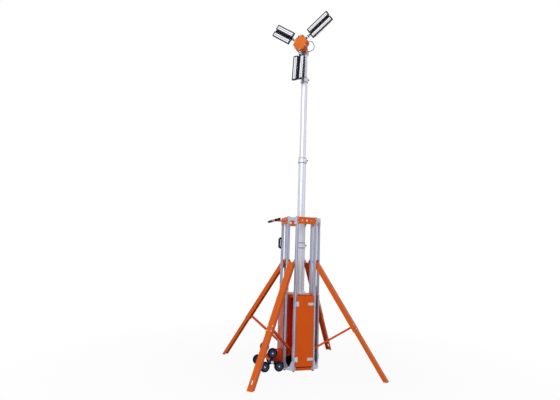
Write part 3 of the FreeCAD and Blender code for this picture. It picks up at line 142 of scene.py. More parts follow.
def surface(name, colour, roughness, metallic=0.0, coat=0.0, coat_roughness=0.1, grain=60.0,
            stretch=(1, 1, 1), shade=0.06, rough_spread=0.08, bump=0.1, bump_grain=900.0,
            bump_depth=0.0002, edge_highlight=0.0, edge_highlight_colour=None, specular=0.5, painted_shade_below=None,
            glow=0.0):
    """Enters a finish whose colour, roughness and relief vary, with a painted highlight that
    lightens its edges.
    grain and bump_grain are noise scales per metre, and stretch shortens the noise along an axis.
    The painted shade's argument is a height in metres under which the colour falls to near black,
    and glow is the light that a milky lens passes on."""
    material, nodes, links = shader(name)
    bsdf = nodes["Principled BSDF"]
    bsdf.inputs["Metallic"].default_value = metallic
    bsdf.inputs["Specular IOR Level"].default_value = specular
    bsdf.inputs["Coat Weight"].default_value = coat
    bsdf.inputs["Coat Roughness"].default_value = coat_roughness
    bsdf.inputs["Emission Color"].default_value = LENS_LIGHT
    bsdf.inputs["Emission Strength"].default_value = glow
    place = nodes.new("ShaderNodeTexCoord")
    mapping = nodes.new("ShaderNodeMapping")
    mapping.inputs["Scale"].default_value = stretch
    links.new(place.outputs["Object"], mapping.inputs["Vector"])

    def noise(scale, detail):
        node = nodes.new("ShaderNodeTexNoise")
        node.inputs["Scale"].default_value = scale
        node.inputs["Detail"].default_value = detail
        links.new(mapping.outputs["Vector"], node.inputs["Vector"])
        return node

    def span(source, from_low, from_high, low, high):
        node = nodes.new("ShaderNodeMapRange")
        node.inputs["From Min"].default_value = from_low
        node.inputs["From Max"].default_value = from_high
        node.inputs["To Min"].default_value = low
        node.inputs["To Max"].default_value = high
        links.new(source, node.inputs["Value"])
        return node.outputs["Result"]

    def mixed(factor, first, second):
        node = nodes.new("ShaderNodeMix")
        node.data_type = "RGBA"
        for value, socket in ((factor, 0), (first, 6), (second, 7)):
            if isinstance(value, bpy.types.NodeSocket):
                links.new(value, node.inputs[socket])
            else:
                node.inputs[socket].default_value = value
        return node.outputs[2]

    broad = noise(grain, 4)
    fine = noise(bump_grain, 3)
    dark = [part * (1 - shade) for part in colour] + [1]
    light = [min(1, part * (1 + shade)) for part in colour] + [1]
    tone = mixed(broad.outputs["Fac"], dark, light)
    relief = nodes.new("ShaderNodeBump")
    # Painted shade: below the given height the colour falls to near black.
    if painted_shade_below:
        height = nodes.new("ShaderNodeSeparateXYZ")
        links.new(place.outputs["Object"], height.inputs["Vector"])
        above_painted_shade = span(height.outputs["Z"], painted_shade_below - PAINTED_SHADE_FADE, painted_shade_below + PAINTED_SHADE_FADE, 0, 1)
        tone = mixed(above_painted_shade, PAINTED_SHADE_TONE, tone)
    # Painted highlight: where the rounded normal leaves the flat one, the colour is mixed towards
    # a lighter edge colour.
    if edge_highlight:
        round_edge = nodes.new("ShaderNodeBevel")
        round_edge.samples = 4
        round_edge.inputs["Radius"].default_value = EDGE_RADIUS
        links.new(round_edge.outputs["Normal"], relief.inputs["Normal"])
        flat = nodes.new("ShaderNodeNewGeometry")
        turned = nodes.new("ShaderNodeVectorMath")
        turned.operation = "DOT_PRODUCT"
        links.new(round_edge.outputs["Normal"], turned.inputs[0])
        links.new(flat.outputs["Normal"], turned.inputs[1])
        edge_highlight_mask = span(turned.outputs["Value"], *EDGE_TURN, edge_highlight, 0)
        tone = mixed(edge_highlight_mask, tone, list(edge_highlight_colour) + [1])
    links.new(tone, bsdf.inputs["Base Color"])
    gloss = span(broad.outputs["Fac"], 0, 1, roughness - rough_spread, roughness + rough_spread)
    links.new(gloss, bsdf.inputs["Roughness"])
    relief.inputs["Strength"].default_value = bump
    relief.inputs["Distance"].default_value = bump_depth
    links.new(fine.outputs["Fac"], relief.inputs["Height"])
    links.new(relief.outputs["Normal"], bsdf.inputs["Normal"])
    MATERIALS[name] = material


ORANGE = (0.82, 0.134, 0.006)
# A lighter orange, painted on the edges as a highlight.
EDGE_HIGHLIGHT_ORANGE = (0.92, 0.27, 0.05)
ALONG_POSTS = (1, 1, 0.02)

# The lighter edge colours of these finishes are painted highlights.
surface("orange_paint", ORANGE, 0.42, grain=9, shade=0.05, bump=0.25, bump_grain=700, edge_highlight=0.45,
        edge_highlight_colour=EDGE_HIGHLIGHT_ORANGE, specular=0.22)
surface("door_paint", (0.88, 0.122, 0.005), 0.44, grain=5, shade=0.06, bump=0.3, bump_grain=650,
        edge_highlight=0.6, edge_highlight_colour=EDGE_HIGHLIGHT_ORANGE, specular=0.18)
# Painted shade: a darker copy of the orange for the side panel, which stands in shade.
surface("panel_paint_shaded", (0.54, 0.045, 0.012), 0.34, grain=5, shade=0.08, bump=0.2, bump_grain=650,
        edge_highlight=0.5, edge_highlight_colour=EDGE_HIGHLIGHT_ORANGE, specular=0.45)
# Painted shade: redder copies of the orange for the struts and the brackets, the hue that the
# orange takes in shade.
surface("strut_paint_shade_hue", (0.80, 0.095, 0.005), 0.42, grain=9, shade=0.05, bump=0.25, bump_grain=700,
        edge_highlight=0.4, edge_highlight_colour=EDGE_HIGHLIGHT_ORANGE, specular=0.18)
surface("bracket_paint_shade_hue", (0.84, 0.070, 0.006), 0.45, grain=7, shade=0.08, bump=0.25,
        bump_grain=700, edge_highlight=0.3, edge_highlight_colour=EDGE_HIGHLIGHT_ORANGE, specular=0.15)
# Painted shade: the well's colour falls to near black below 0.17 m, at the bottom of the well.
surface("well_paint", (0.88, 0.065, 0.010), 0.45, grain=7, shade=0.12, bump=0.25, bump_grain=700,
        specular=0.2, painted_shade_below=0.17)
surface("post_aluminium", (0.46, 0.475, 0.59), 0.38, metallic=0.8, grain=160, stretch=ALONG_POSTS,
        shade=0.12, bump=0.3, bump_grain=900, edge_highlight=0.5, edge_highlight_colour=(0.66, 0.68, 0.76))
surface("mast_aluminium", (0.74, 0.75, 0.83), 0.38, metallic=0.45, grain=120, stretch=ALONG_POSTS,
        shade=0.05, bump=0.08, bump_grain=500, rough_spread=0.05)
surface("steel", (0.50, 0.52, 0.59), 0.30, metallic=1.0, grain=90, shade=0.12, bump=0.25,
        bump_grain=1500, edge_highlight=0.5, edge_highlight_colour=(0.75, 0.77, 0.82))
surface("black_rubber", (0.006, 0.006, 0.010), 0.75, grain=200, shade=0.3, bump=0.5,
        bump_grain=2500, specular=0.12)
surface("black_metal", (0.014, 0.015, 0.022), 0.50, grain=60, shade=0.3, bump=0.35,
        bump_grain=1100, edge_highlight=0.2, edge_highlight_colour=(0.07, 0.07, 0.09), specular=0.15)
surface("wheel_rubber", (0.007, 0.008, 0.014), 0.80, grain=150, shade=0.35, bump=0.7,
        bump_grain=1800, bump_depth=0.0004, specular=0.12)
surface("battery_case", (0.03, 0.03, 0.033), 0.55, grain=120, shade=0.2, bump=0.5,
        bump_grain=1600, specular=0.3)
surface("lamp_metal", (0.006, 0.006, 0.018), 0.58, grain=80, shade=0.3, bump=0.35,
        bump_grain=1500, specular=0.1)
surface("cable_jacket", (0.009, 0.009, 0.013), 0.6, grain=300, shade=0.2, bump=0.3,
        bump_grain=2500, specular=0.15)
surface("clamp_metal", (0.42, 0.44, 0.52), 0.42, metallic=0.9, grain=110, shade=0.14, bump=0.5,
        bump_grain=1300)
surface("hub_front", (0.90, 0.20, 0.014), 0.45, grain=14, shade=0.06, bump=0.25, bump_grain=800,
        edge_highlight=0.8, edge_highlight_colour=(1.0, 0.27, 0.03), specular=0.2)
surface("lens", (0.97, 0.97, 0.99), 0.22, coat=0.5, coat_roughness=0.05, grain=30, shade=0.015,
        bump=0.15, bump_grain=400, glow=0.24)
surface("diode_strip", (0.42, 0.44, 0.54), 0.4, grain=60, shade=0.04, bump=0.1, bump_grain=900)
surface("diode", (0.62, 0.62, 0.50), 0.25, coat=0.4, grain=200, shade=0.1, bump=0.1,
        bump_grain=900)
surface("rim_plastic", (0.045, 0.062, 0.125), 0.50, grain=120, shade=0.2, bump=0.3,
        bump_grain=1500, specular=0.22)


def node_material(name, slot):
    if name.startswith("door_") and slot == "orange_paint":
        return MATERIALS["door_paint"]
    # The side panel takes the darker copy of the orange that paints its shade.
    if name == "side_panel":
        return MATERIALS["panel_paint_shaded"]
    # The brackets and struts take the redder copies of the orange that paint the hue of shade.
    if name in ("axle_bracket", "strut_brackets"):
        return MATERIALS["bracket_paint_shade_hue"]
    if name.startswith("strut_") and slot == "orange_paint":
        return MATERIALS["strut_paint_shade_hue"]
    return MATERIALS.get(slot, MATERIALS["steel"])


def dress_nodes():
    for row in frame["record"]["subparts"]:
        node = frame["nodes"][row["node"]]
        material = node_material(row["node"], row["material_slot"])
        node.data.materials.clear()
        node.data.materials.append(material)


dress_nodes()


# Mesh building, in millimetres

def about_z(degrees):
    return Matrix.Rotation(math.radians(degrees), 4, "Z")


def moved(x, y, z):
    return Matrix.Translation(Vector((x, y, z)))


def facing(at, out):
    """A frame at a point whose +Z looks along a direction."""
    turn = Vector(out).to_track_quat("Z", "Y").to_matrix().to_4x4()
    return Matrix.Translation(Vector(at)) @ turn


def arc(middle, radius, angles):
    """Points on a circle, at angles in radians."""
    return [(middle[0] + radius * math.cos(angle), middle[1] + radius * math.sin(angle))
            for angle in angles]


SHARP_BEND = 0.5
SMOOTH_DEGREES = 35


class Form:
    """A mesh put together from turned, boxed and extruded forms."""

    def __init__(self):
        self.mesh = bmesh.new()
        self.materials = []

    def paint(self, faces, material):
        if material not in self.materials:
            self.materials.append(material)
        for face in faces:
            face.material_index = self.materials.index(material)

    def soften(self, faces, width):
        """Bevels the sharp edges of some faces."""
        for face in faces:
            face.normal_update()
        edges = [edge for face in faces for edge in face.edges
                 if len(edge.link_faces) == 2 and abs(edge.calc_face_angle(0)) > SHARP_BEND]
        bmesh.ops.bevel(self.mesh, geom=list(dict.fromkeys(edges)), offset=width, segments=2,
                        affect="EDGES", profile=0.5, clamp_overlap=True)

    def lathe(self, profile, place, material, segments=24, closed=False):
        """Pairs of height and radius turned about +Z."""
        rings = []
        for height, radius in profile:
            turns = range(segments) if radius else range(1)
            rings.append([self.mesh.verts.new(place @ Vector((
                radius * math.cos(2 * math.pi * step / segments),
                radius * math.sin(2 * math.pi * step / segments), height))) for step in turns])
        pairs = list(zip(rings, rings[1:]))
        if closed:
            pairs.append((rings[-1], rings[0]))
        faces = []
        for low, high in pairs:
            for step in range(segments):
                after = (step + 1) % segments
                corners = [low[step % len(low)], low[after % len(low)],
                           high[after % len(high)], high[step % len(high)]]
                corners = list(dict.fromkeys(corners))
                if len(corners) > 2:
                    faces.append(self.mesh.faces.new(corners))
        self.paint(faces, material)

    def ring(self, profile, place, material, segments=24):
        """A closed profile turned about +Z."""
        self.lathe(profile, place, material, segments, True)

    def prism(self, outline, low, high, place, material, soft=0.0):
        """An outline in X and Y raised between two heights."""
        rings = [[self.mesh.verts.new(place @ Vector((x, y, height))) for x, y in outline]
                 for height in (low, high)]
        faces = [self.mesh.faces.new(list(reversed(rings[0]))), self.mesh.faces.new(rings[1])]
        count = len(outline)
        for step in range(count):
            after = (step + 1) % count
            faces.append(self.mesh.faces.new((rings[0][step], rings[0][after],
                                              rings[1][after], rings[1][step])))
        self.paint(faces, material)
        if soft:
            self.soften(faces, soft)

    def block(self, low, high, place, material, soft=0.8):
        outline = [(low[0], low[1]), (high[0], low[1]), (high[0], high[1]), (low[0], high[1])]
        self.prism(outline, low[2], high[2], place, material, soft)

    def border(self, outer, inner, low, high, place, material, soft=0.5):
        """A ring between two outlines of the same number of points, raised between two heights."""
        loops = [[self.mesh.verts.new(place @ Vector((x, y, height))) for x, y in outline]
                 for outline in (outer, inner) for height in (low, high)]
        faces = []
        for first, second in ((0, 1), (1, 3), (3, 2), (2, 0)):
            for step in range(len(outer)):
                after = (step + 1) % len(outer)
                faces.append(self.mesh.faces.new((loops[first][step], loops[first][after],
                                                  loops[second][after], loops[second][step])))
        self.paint(faces, material)
        self.soften(faces, soft)

    def wire(self, start, end, place, material, radius=1.5, soft=0.3):
        """A thin rod between two points."""
        start, end = Vector(start), Vector(end)
        length = (end - start).length
        profile = [(0, 0), (0, radius - soft), (soft, radius), (length - soft, radius),
                   (length, radius - soft), (length, 0)]
        self.lathe(profile, place @ facing(start, end - start), material, 10)

    def bolt(self, place, material, radius=6.0, height=5.0, washer=9.5):
        """A hexagon head on a washer."""
        self.lathe([(0, 0), (0, washer), (1.1, washer), (1.6, washer - 0.6), (1.6, 0)], place,
                   material)
        self.lathe([(1.6, 0), (1.6, radius), (height - 0.7, radius), (height, radius - 1.0),
                    (height, 0)], place, material, 6)

    def dome(self, place, material, radius=6.0, height=3.6):
        """A button head with a socket in it."""
        socket = radius * 0.42
        self.lathe([(0, 0), (0, radius), (height * 0.35, radius * 0.97),
                    (height * 0.75, radius * 0.8), (height, radius * 0.55), (height, socket),
                    (height * 0.45, socket * 0.9), (height * 0.45, 0)], place, material, 20)

    def piece(self, name, body, slot, replaces=()):
        """Turns the form into an object that rides on a body."""
        bmesh.ops.recalc_face_normals(self.mesh, faces=self.mesh.faces[:])
        self.mesh.transform(Matrix.Scale(MM, 4))
        data = bpy.data.meshes.new(name)
        self.mesh.to_mesh(data)
        self.mesh.free()
        for material in self.materials:
            data.materials.append(MATERIALS[material])
        data.shade_smooth()
        data.set_sharp_from_angle(angle=math.radians(SMOOTH_DEGREES))
        piece = added(name, data)
        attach(piece, body)
        if replaces:
            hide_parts(*replaces)


HEAD = about_z(-HEAD_TURN_DEGREES) @ moved(0, 0, HEAD_HEIGHT)
TO_X = Matrix(((0, 0, 1, 0), (1, 0, 0, 0), (0, 1, 0, 0), (0, 0, 0, 1)))


def lamp_frame(name):
    turn = Matrix.Rotation(math.radians(LAMP_ANGLES[name]), 4, Vector((0, -1, 0)))
    return HEAD @ moved(0, -LAMP_AXIS, 0) @ turn


def leg_frame(corner):
    lean = Matrix.Rotation(LEG_LEAN, 4, Vector((0, -1, 0)))
    return about_z(CORNERS[corner]) @ moved(LEG_PIVOT_REACH, 0, LEG_PIVOT_HEIGHT) @ lean


# Cable between the lamp hub and the mast-top clamp

HEAD_CABLE = [
    (0.052, -0.067, 0.078), (0.052, -0.024, 0.078), (0.080, 0.008, 0.086), (0.110, 0.022, 0.070),
    (0.126, 0.026, 0.036), (0.138, 0.026, -0.006), (0.136, 0.014, -0.048), (0.104, 0.000, -0.078),
    (0.0623, 0.000, -0.078),
]
CABLE_DIAMETER = 0.009
GLAND = [(-5, 4.7), (-5, 8.6), (-1, 8.6), (1, 6.6), (7, 5.6), (12, 4.9), (12, 4.6)]


def route_curve(name, route, thickness):
    data = bpy.data.curves.new(name, "CURVE")
    data.dimensions = "3D"
    data.bevel_depth = thickness / 2
    data.bevel_resolution = 6
    data.resolution_u = 16
    data.use_fill_caps = True
    spline = data.splines.new("NURBS")
    spline.points.add(len(route) - 1)
    for point, at in zip(spline.points, route):
        point.co = (*at, 1)
    spline.order_u = 3
    spline.use_endpoint_u = True
    curve = bpy.data.objects.new(name, data)
    mesh = bpy.data.meshes.new_from_object(curve)
    bpy.data.objects.remove(curve)
    bpy.data.curves.remove(data)
    return mesh


def make_head_cable():
    turn = about_z(-HEAD_TURN_DEGREES)
    hub = Vector((0, 0, HEAD_HEIGHT * MM))
    route = [turn @ (Vector(point) + hub) for point in HEAD_CABLE]
    line = route_curve("cable_line", route, 0)
    jacket = route_curve("head_cable_jacket", route, CABLE_DIAMETER)
    jacket.materials.append(MATERIALS["cable_jacket"])
    jacket.shade_smooth()
    cable = added("head_cable_jacket", jacket)
    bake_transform(cable)
    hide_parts("head_cable")
    for name, body, at, out in (("hub_gland", "head_tilt", HEAD_CABLE[0], (0, 1, 0)),
                                ("clamp_gland", "head_pan", HEAD_CABLE[-1], (1, 0, 0))):
        gland = Form()
        gland.ring(GLAND, HEAD @ facing(Vector(at) / MM, out), "black_rubber", 20)
        gland.piece(name, body, "cable_jacket")


make_head_cable()


# Frame: screws, caps, feet and collars

RING_PLATE, GUSSET = 5, 4
SLOT_INSET = 7
RING_SCREW_HEIGHTS = (POST_TOP - 22, POST_TOP - 70)
GUSSET_SCREW_HEIGHTS = (POST_TOP - 22, POST_TOP - 84, 34, 104)
POST_ARM = 18
CAP_HEIGHT = 3
FLANGE_BOLT_CIRCLE, FLANGE_TOP = 91, 948


def make_frame_screws():
    """Button screws in the posts' slots, through the ring plates and the corner gussets."""
    form = Form()
    for degrees in SIDES.values():
        turn = about_z(degrees)
        for side in (-1, 1):
            for height in RING_SCREW_HEIGHTS:
                at = (side * (FACE_PITCH / 2 - SLOT_INSET), -FACE_OUT - RING_PLATE, height)
                form.dome(turn @ facing(at, (0, -1, 0)), "steel", 6.5, 4)
    for degrees in CORNERS.values():
        turn = about_z(degrees)
        for side in (-1, 1):
            across = side * (CORNER_PITCH / 2 - SLOT_INSET)
            for height in GUSSET_SCREW_HEIGHTS:
                at = (CORNER_OUT + GUSSET, across, height)
                form.dome(turn @ facing(at, (1, 0, 0)), "steel", 6.5, 4)
    form.piece("frame_screws", "frame", "steel")


def post_outline(side):
    """The hull of a post's section, in plan."""
    bend = POST_HALF * math.tan(math.radians(22.5))
    middle = Vector((side * FACE_PITCH / 2, -POST_LINE))
    along = Vector((-side, 0))
    out = Vector((0, -1))
    across = Vector((side, 1)) / math.sqrt(2)
    corner_out = Vector((side, -1)) / math.sqrt(2)
    return [middle + across * POST_ARM + corner_out * POST_HALF,
            middle - along * bend + out * POST_HALF,
            middle + along * POST_ARM + out * POST_HALF,
            middle + along * POST_ARM - out * POST_HALF,
            middle + along * bend - out * POST_HALF,
            middle + across * POST_ARM - corner_out * POST_HALF]


def make_post_caps():
    form = Form()
    for degrees in SIDES.values():
        for side in (-1, 1):
            outline = [(point.x, point.y) for point in post_outline(side)]
            form.prism(outline, POST_TOP, POST_TOP + CAP_HEIGHT, about_z(degrees),
                       "black_rubber", 1.0)
    form.piece("post_caps", "frame", "black_rubber")


def make_levelling_feet():
    form = Form()
    profile = [(0, 0), (0, 13), (1.5, 15), (4.5, 15), (6, 13), (7, 8.5), (12, 8), (12, 0)]
    for degrees in SIDES.values():
        for side in (-1, 1):
            place = about_z(degrees) @ moved(side * FACE_PITCH / 2, -POST_LINE, 0)
            form.lathe(profile, place, "black_rubber", 28)
    form.piece("levelling_feet", "frame", "black_rubber", replaces=["post_feet"])


def make_flange_bolts():
    form = Form()
    for step in range(8):
        place = about_z(22.5 + 45 * step) @ moved(FLANGE_BOLT_CIRCLE, 0, FLANGE_TOP)
        form.bolt(place, "steel", 5.2, 6, 6.4)
    form.piece("flange_bolts", "frame", "steel")


COLLARS = ((1, "frame", 1619), (2, "mast_2", 2807), (3, "mast_3", 4006))
LOWEST_COLLAR_TUBE, TUBE_STEP = 61, 8
COLLAR_WALL = 8
COLLAR_HEIGHT = 70
KNOB_DEGREES = 320
KNOB_RADIUS, KNOB_LOBE, KNOB_STEPS = 10.5, 1.5, 48
CLAMP_SCREW_DEGREES = (80, 100, 200, 220)
WEDGE_DEGREES = (-17, 163)


def knob_outline():
    """A hand knob with six lobes."""
    angles = [2 * math.pi * step / KNOB_STEPS for step in range(KNOB_STEPS)]
    reaches = [KNOB_RADIUS + KNOB_LOBE * math.cos(6 * angle) for angle in angles]
    return [(reach * math.cos(angle), reach * math.sin(angle))
            for reach, angle in zip(reaches, angles)]


def make_collar_fittings():
    """Wiper seals, base rings, bands, screws and locking knobs of the three mast collars."""
    for number, body, top in COLLARS:
        outer = LOWEST_COLLAR_TUBE - TUBE_STEP * (number - 1)
        reach, within = outer + COLLAR_WALL, outer - COLLAR_WALL
        form = Form()
        form.ring([(top - 0.5, within + 0.7), (top + 4.5, within + 0.7), (top + 5, within + 2.5),
                   (top + 3, reach - 4), (top - 0.5, reach - 3.2)], Matrix(), "black_rubber", 64)
        base = top - COLLAR_HEIGHT
        form.ring([(base + 0.5, outer + 0.4), (base - 3.5, outer + 0.4), (base - 3.5, reach - 4.4),
                   (base + 0.5, reach - 3.2)], Matrix(), "black_rubber", 64)
        for height in (base + 7, top - 7):
            form.ring([(height - 1.4, reach - 0.8), (height - 1.4, reach + 0.5),
                       (height + 1.4, reach + 0.5), (height + 1.4, reach - 0.8)], Matrix(),
                      "black_metal", 64)
        turn = about_z(KNOB_DEGREES) @ facing((reach + 7, 0, base + 35), (1, 0, 0))
        form.prism(knob_outline(), 2, 11, turn, "black_rubber", 1.6)
        form.lathe([(0, 0), (0, 6.5), (2.4, 6.5), (2.6, 8), (3, 0)], turn, "black_rubber")
        form.lathe([(11, 0), (11, 4.6), (11.8, 4), (11.8, 0)], turn, "steel")
        for degrees in CLAMP_SCREW_DEGREES:
            for height in (base + 18, top - 18):
                place = about_z(degrees) @ facing((reach - 0.4, 0, height), (1, 0, 0))
                form.dome(place, "steel", 4.2, 3)
        if number == 3:
            for degrees in WEDGE_DEGREES:
                place = about_z(degrees) @ facing((outer - 0.3, 0, base - 3), (0, 1, 0))
                wedge = [(0, 0), (9, 0), (9, -10), (0, -34)]
                form.prism(wedge, -7, 7, place, "black_metal", 1.2)
        form.piece(f"collar_{number}_fittings", body, "black_rubber")


PANEL_SCREWS_ACROSS, BRACKET_BOLTS_ACROSS = 107, 72
BRACKET_PLATE = 6


def make_side_panel_screws():
    """Button screws along the fixed panel's edges, and bolts through the axle bracket's plate."""
    form = Form()
    for across in (-PANEL_SCREWS_ACROSS, PANEL_SCREWS_ACROSS):
        for height in (96, 300, 510, 700, 868):
            form.dome(facing((-PANEL_FACE, across, height), (-1, 0, 0)), "steel", 6, 3.6)
    for across in (-BRACKET_BOLTS_ACROSS, BRACKET_BOLTS_ACROSS):
        for height in (86, 192):
            at = (-PANEL_FACE - BRACKET_PLATE, across, height)
            form.bolt(facing(at, (-1, 0, 0)), "steel", 6.5, 7, 10)
    form.piece("side_panel_screws", "frame", "steel")


SLEEVE_END, AXLE_END = 100, 204
AXLE_WASHER = [(0, 15.2), (0, 19), (3, 19), (4, 18), (4, 10.2), (0.2, 10.2)]
AXLE_CAP = [(-3, 10.3), (-3, 17), (1, 17), (2.4, 15.4), (2.4, 9), (1.2, 8.4), (1.2, 4), (3, 3),
            (3, 0), (-3, 0)]


def make_axle_fittings():
    """Washers at the ends of the axle's sleeve, and caps on the axle's ends."""
    form = Form()
    for side in (-1, 1):
        place = facing((AXLE_X, side * SLEEVE_END, AXLE_HEIGHT), (0, side, 0))
        form.ring(AXLE_WASHER, place, "steel", 28)
        place = facing((AXLE_X, side * AXLE_END, AXLE_HEIGHT), (0, side, 0))
        form.lathe(AXLE_CAP, place, "steel", 28)
    form.piece("axle_fittings", "frame", "steel")


GRIP_END = 258
GRIP_RIBS, GRIP_RIB_PITCH = 18, 9


def make_handle_fittings():
    """Ribbed grips on the pull bar, and its flange's bolts."""
    form = Form()
    for side in (-1, 1):
        end = (BAR_REACH, BAR_MIDDLE + side * GRIP_END, BAR_HEIGHT)
        place = facing(end, (0, -side, 0))
        profile = [(-2.5, 0), (-2.5, 12), (-1, 14.5), (2, 16)]
        for step in range(GRIP_RIBS):
            start = 8 + step * GRIP_RIB_PITCH
            profile += [(start, 16), (start + 0.8, 14.9), (start + 2.6, 14.9), (start + 3.4, 16)]
        profile += [(171, 16), (173, 18.5), (178, 18.5), (180, 16.5), (180, 11.2), (0, 11.2),
                    (0, 0)]
        form.lathe(profile, place, "black_rubber", 36)
    form.piece("ribbed_grips", "frame", "black_rubber", replaces=["handle_grips"])
    form = Form()
    for across in (-22, 22):
        for up in (-22, 22):
            at = (-245.5, BAR_MIDDLE + across, BAR_HEIGHT + up)
            form.bolt(facing(at, (-1, 0, 0)), "steel", 5.4, 6, 8)
    form.piece("handle_bolts", "frame", "steel")


SIDE_HANDLE_HEIGHTS = (1612, 815)
SIDE_HANDLE_ACROSS = 133


def make_pull_handles():
    """Moulded side handles: a thick ribbed grip between two screwed feet."""
    form = Form()
    for middle in SIDE_HANDLE_HEIGHTS:
        place = Matrix(((-1, 0, 0, -FACE_OUT), (0, 0, 1, SIDE_HANDLE_ACROSS),
                        (0, 1, 0, middle), (0, 0, 0, 1)))
        grip = [(16, -52), (22, -66), (32, -64), (36, -52), (36, 52), (32, 64), (22, 66), (16, 52)]
        form.prism(grip, -17, 17, place, "black_rubber", 4.0)
        form.block((0, -76, -10), (5, 76, 10), place, "black_rubber", 1.2)
        for end in (-1, 1):
            foot = [(0, 80 * end), (0, 54 * end), (17, 50 * end), (26, 62 * end),
                    (22, 72 * end), (8, 80 * end)]
            form.prism(foot, -11, 11, place, "black_rubber", 2.0)
            at = (-FACE_OUT - 8, SIDE_HANDLE_ACROSS, middle + 76 * end)
            form.dome(facing(at, (-1, 0, 0)), "steel", 4.2, 4)
        for step in range(9):
            level = -40 + 10 * step
            form.block((35, level - 2, -10), (37, level + 2, 10), place, "black_rubber", 0.8)
    form.piece("moulded_handles", "frame", "black_rubber", replaces=["pull_handles"])


BATTERY_TOP = 376
LID = 3
TERMINAL_ACROSS = 58


def make_battery_top():
    """The battery's lid, terminals, vent plugs and front ribs, behind the front door."""
    form = Form()
    lid = [(-20, -106), (20, -106), (104, -190), (-104, -190)]
    form.prism(lid, BATTERY_TOP, BATTERY_TOP + LID, Matrix(), "battery_case", 1.0)
    on_lid = moved(0, 0, BATTERY_TOP + LID)
    for across in (-TERMINAL_ACROSS, TERMINAL_ACROSS):
        form.lathe([(0, 0), (0, 9), (1.5, 9), (2, 6), (7, 6), (7.6, 5), (7.6, 0)],
                   on_lid @ moved(across, -172, 0), "steel", 20)
        form.block((across - 9, -180, 0), (across + 9, -160, 1.6), on_lid, "steel", 0.5)
    for step in range(5):
        form.lathe([(0, 0), (0, 7), (2, 7), (2.6, 6), (2.6, 0)],
                   on_lid @ moved(-32 + 16 * step, -136, 0), "rim_plastic", 18)
    for level in (96, 170, 244, 318):
        form.block((-92, -193.2, level), (92, -191.4, level + 5), Matrix(), "battery_case", 0.6)
    form.piece("battery_top", "frame", "battery_case")


def make_well_fittings():
    """Screws of the strut brackets and of the clips that hold the rubber rests."""
    form = Form()
    for degrees in CORNERS.values():
        turn = about_z(degrees)
        for side in (-1, 1):
            for reach in (188, 216):
                form.dome(turn @ facing((reach, side * 33, 184), (0, 0, 1)), "steel", 4.2, 3)
            form.dome(turn @ facing((173, side * 30, 912), (1, 0, 0)), "steel", 4.5, 3)
    form.piece("well_fittings", "frame", "steel")


make_frame_screws()
make_post_caps()
make_levelling_feet()
make_flange_bolts()
make_collar_fittings()
make_side_panel_screws()
make_axle_fittings()
make_handle_fittings()
make_pull_handles()
make_battery_top()
make_well_fittings()


# Doors: bails and rivets of the latches, the hinges' screws, the keepers' hooks and the seals

LATCH_HEIGHTS = (150, 830)
BAIL_START, BAIL_BEND, BAIL_END = 84, 127, 132
BAIL_OUT, BAIL_IN = 260.6, 256
BAIL_HALF = 9
LATCH_PLATE = 2.5
SEAL_ACROSS = 113


def make_door_fittings(side):
    """What rides on a door and what stays on its frame."""
    turn = about_z(SIDES[side])
    moving, fixed = Form(), Form()
    for height in LATCH_HEIGHTS:
        for lift in (-BAIL_HALF, BAIL_HALF):
            start = (BAIL_START, -BAIL_OUT, height + lift)
            bend = (BAIL_BEND, -BAIL_OUT, height + lift)
            moving.wire(start, bend, turn, "steel")
            moving.wire(bend, (BAIL_END, -BAIL_IN, height + lift), turn, "steel")
            rivet = facing((BAIL_START, -258.2, height + lift), (0, -1, 0))
            moving.dome(turn @ rivet, "steel", 3.2, 3.6)
        moving.wire((BAIL_END, -BAIL_IN, height - BAIL_HALF),
                    (BAIL_END, -BAIL_IN, height + BAIL_HALF), turn, "steel")
        for along in (46, 112):
            for lift in (-13.5, 13.5):
                rivet = facing((along, -PANEL_FACE - LATCH_PLATE, height + lift), (0, -1, 0))
                moving.dome(turn @ rivet, "steel", 2.6, 1.8)
        moving.block((100, -259.6, height - 8), (114, -258, height + 8), turn, "steel", 0.4)
        for along in (-110, -97):
            for lift in (-22, 22):
                screw = facing((along, -PANEL_FACE - LATCH_PLATE, height + lift), (0, -1, 0))
                moving.dome(turn @ screw, "steel", 3.4, 1.8)
        for lift in (-20, 20):
            screw = facing((-130, -PANEL_FACE, height + lift), (0, -1, 0))
            fixed.dome(turn @ screw, "steel", 3.2, 1.8)
        hook = [(119.8, -258), (129.2, -258), (129.2, -260.2), (126, -262.2), (119.8, -262.2)]
        fixed.prism(hook, height - 5.5, height + 5.5, turn, "steel", 0.5)
    moving.piece(f"latch_wires_{side}", f"door_{side}", "steel")
    fixed.piece(f"door_keepers_{side}", "frame", "steel")
    seal = Form()
    for across in (-SEAL_ACROSS, SEAL_ACROSS):
        seal.block((across - 2.5, -237.2, 64), (across + 2.5, -235.8, 930), turn,
                   "black_rubber", 0.4)
    seal.piece(f"door_seal_{side}", f"door_{side}", "black_rubber")


for panel_side in PANEL_SIDES:
    make_door_fittings(panel_side)


# Legs: channels, bolts, pivot washers and strut pins

LEG_OUTSIDE, LEG_INSIDE, LEG_HALF, LEG_WALL = 22, -33, 40, 3
LEG_TOP, LEG_END = 42, -980
LEG_BEND = 6
LEG_DIP = 22
LEG_BOLTS_ACROSS, LEG_BOLTS_DOWN = 29, (-898, -958)
GUIDE_SCREWS_ACROSS, GUIDE_SCREWS_DOWN = 20, (-840, -870)
STRUT_PIN_DOWN = -913
STRUT_FOOT_REACH, STRUT_FOOT_HEIGHT = 202, 240


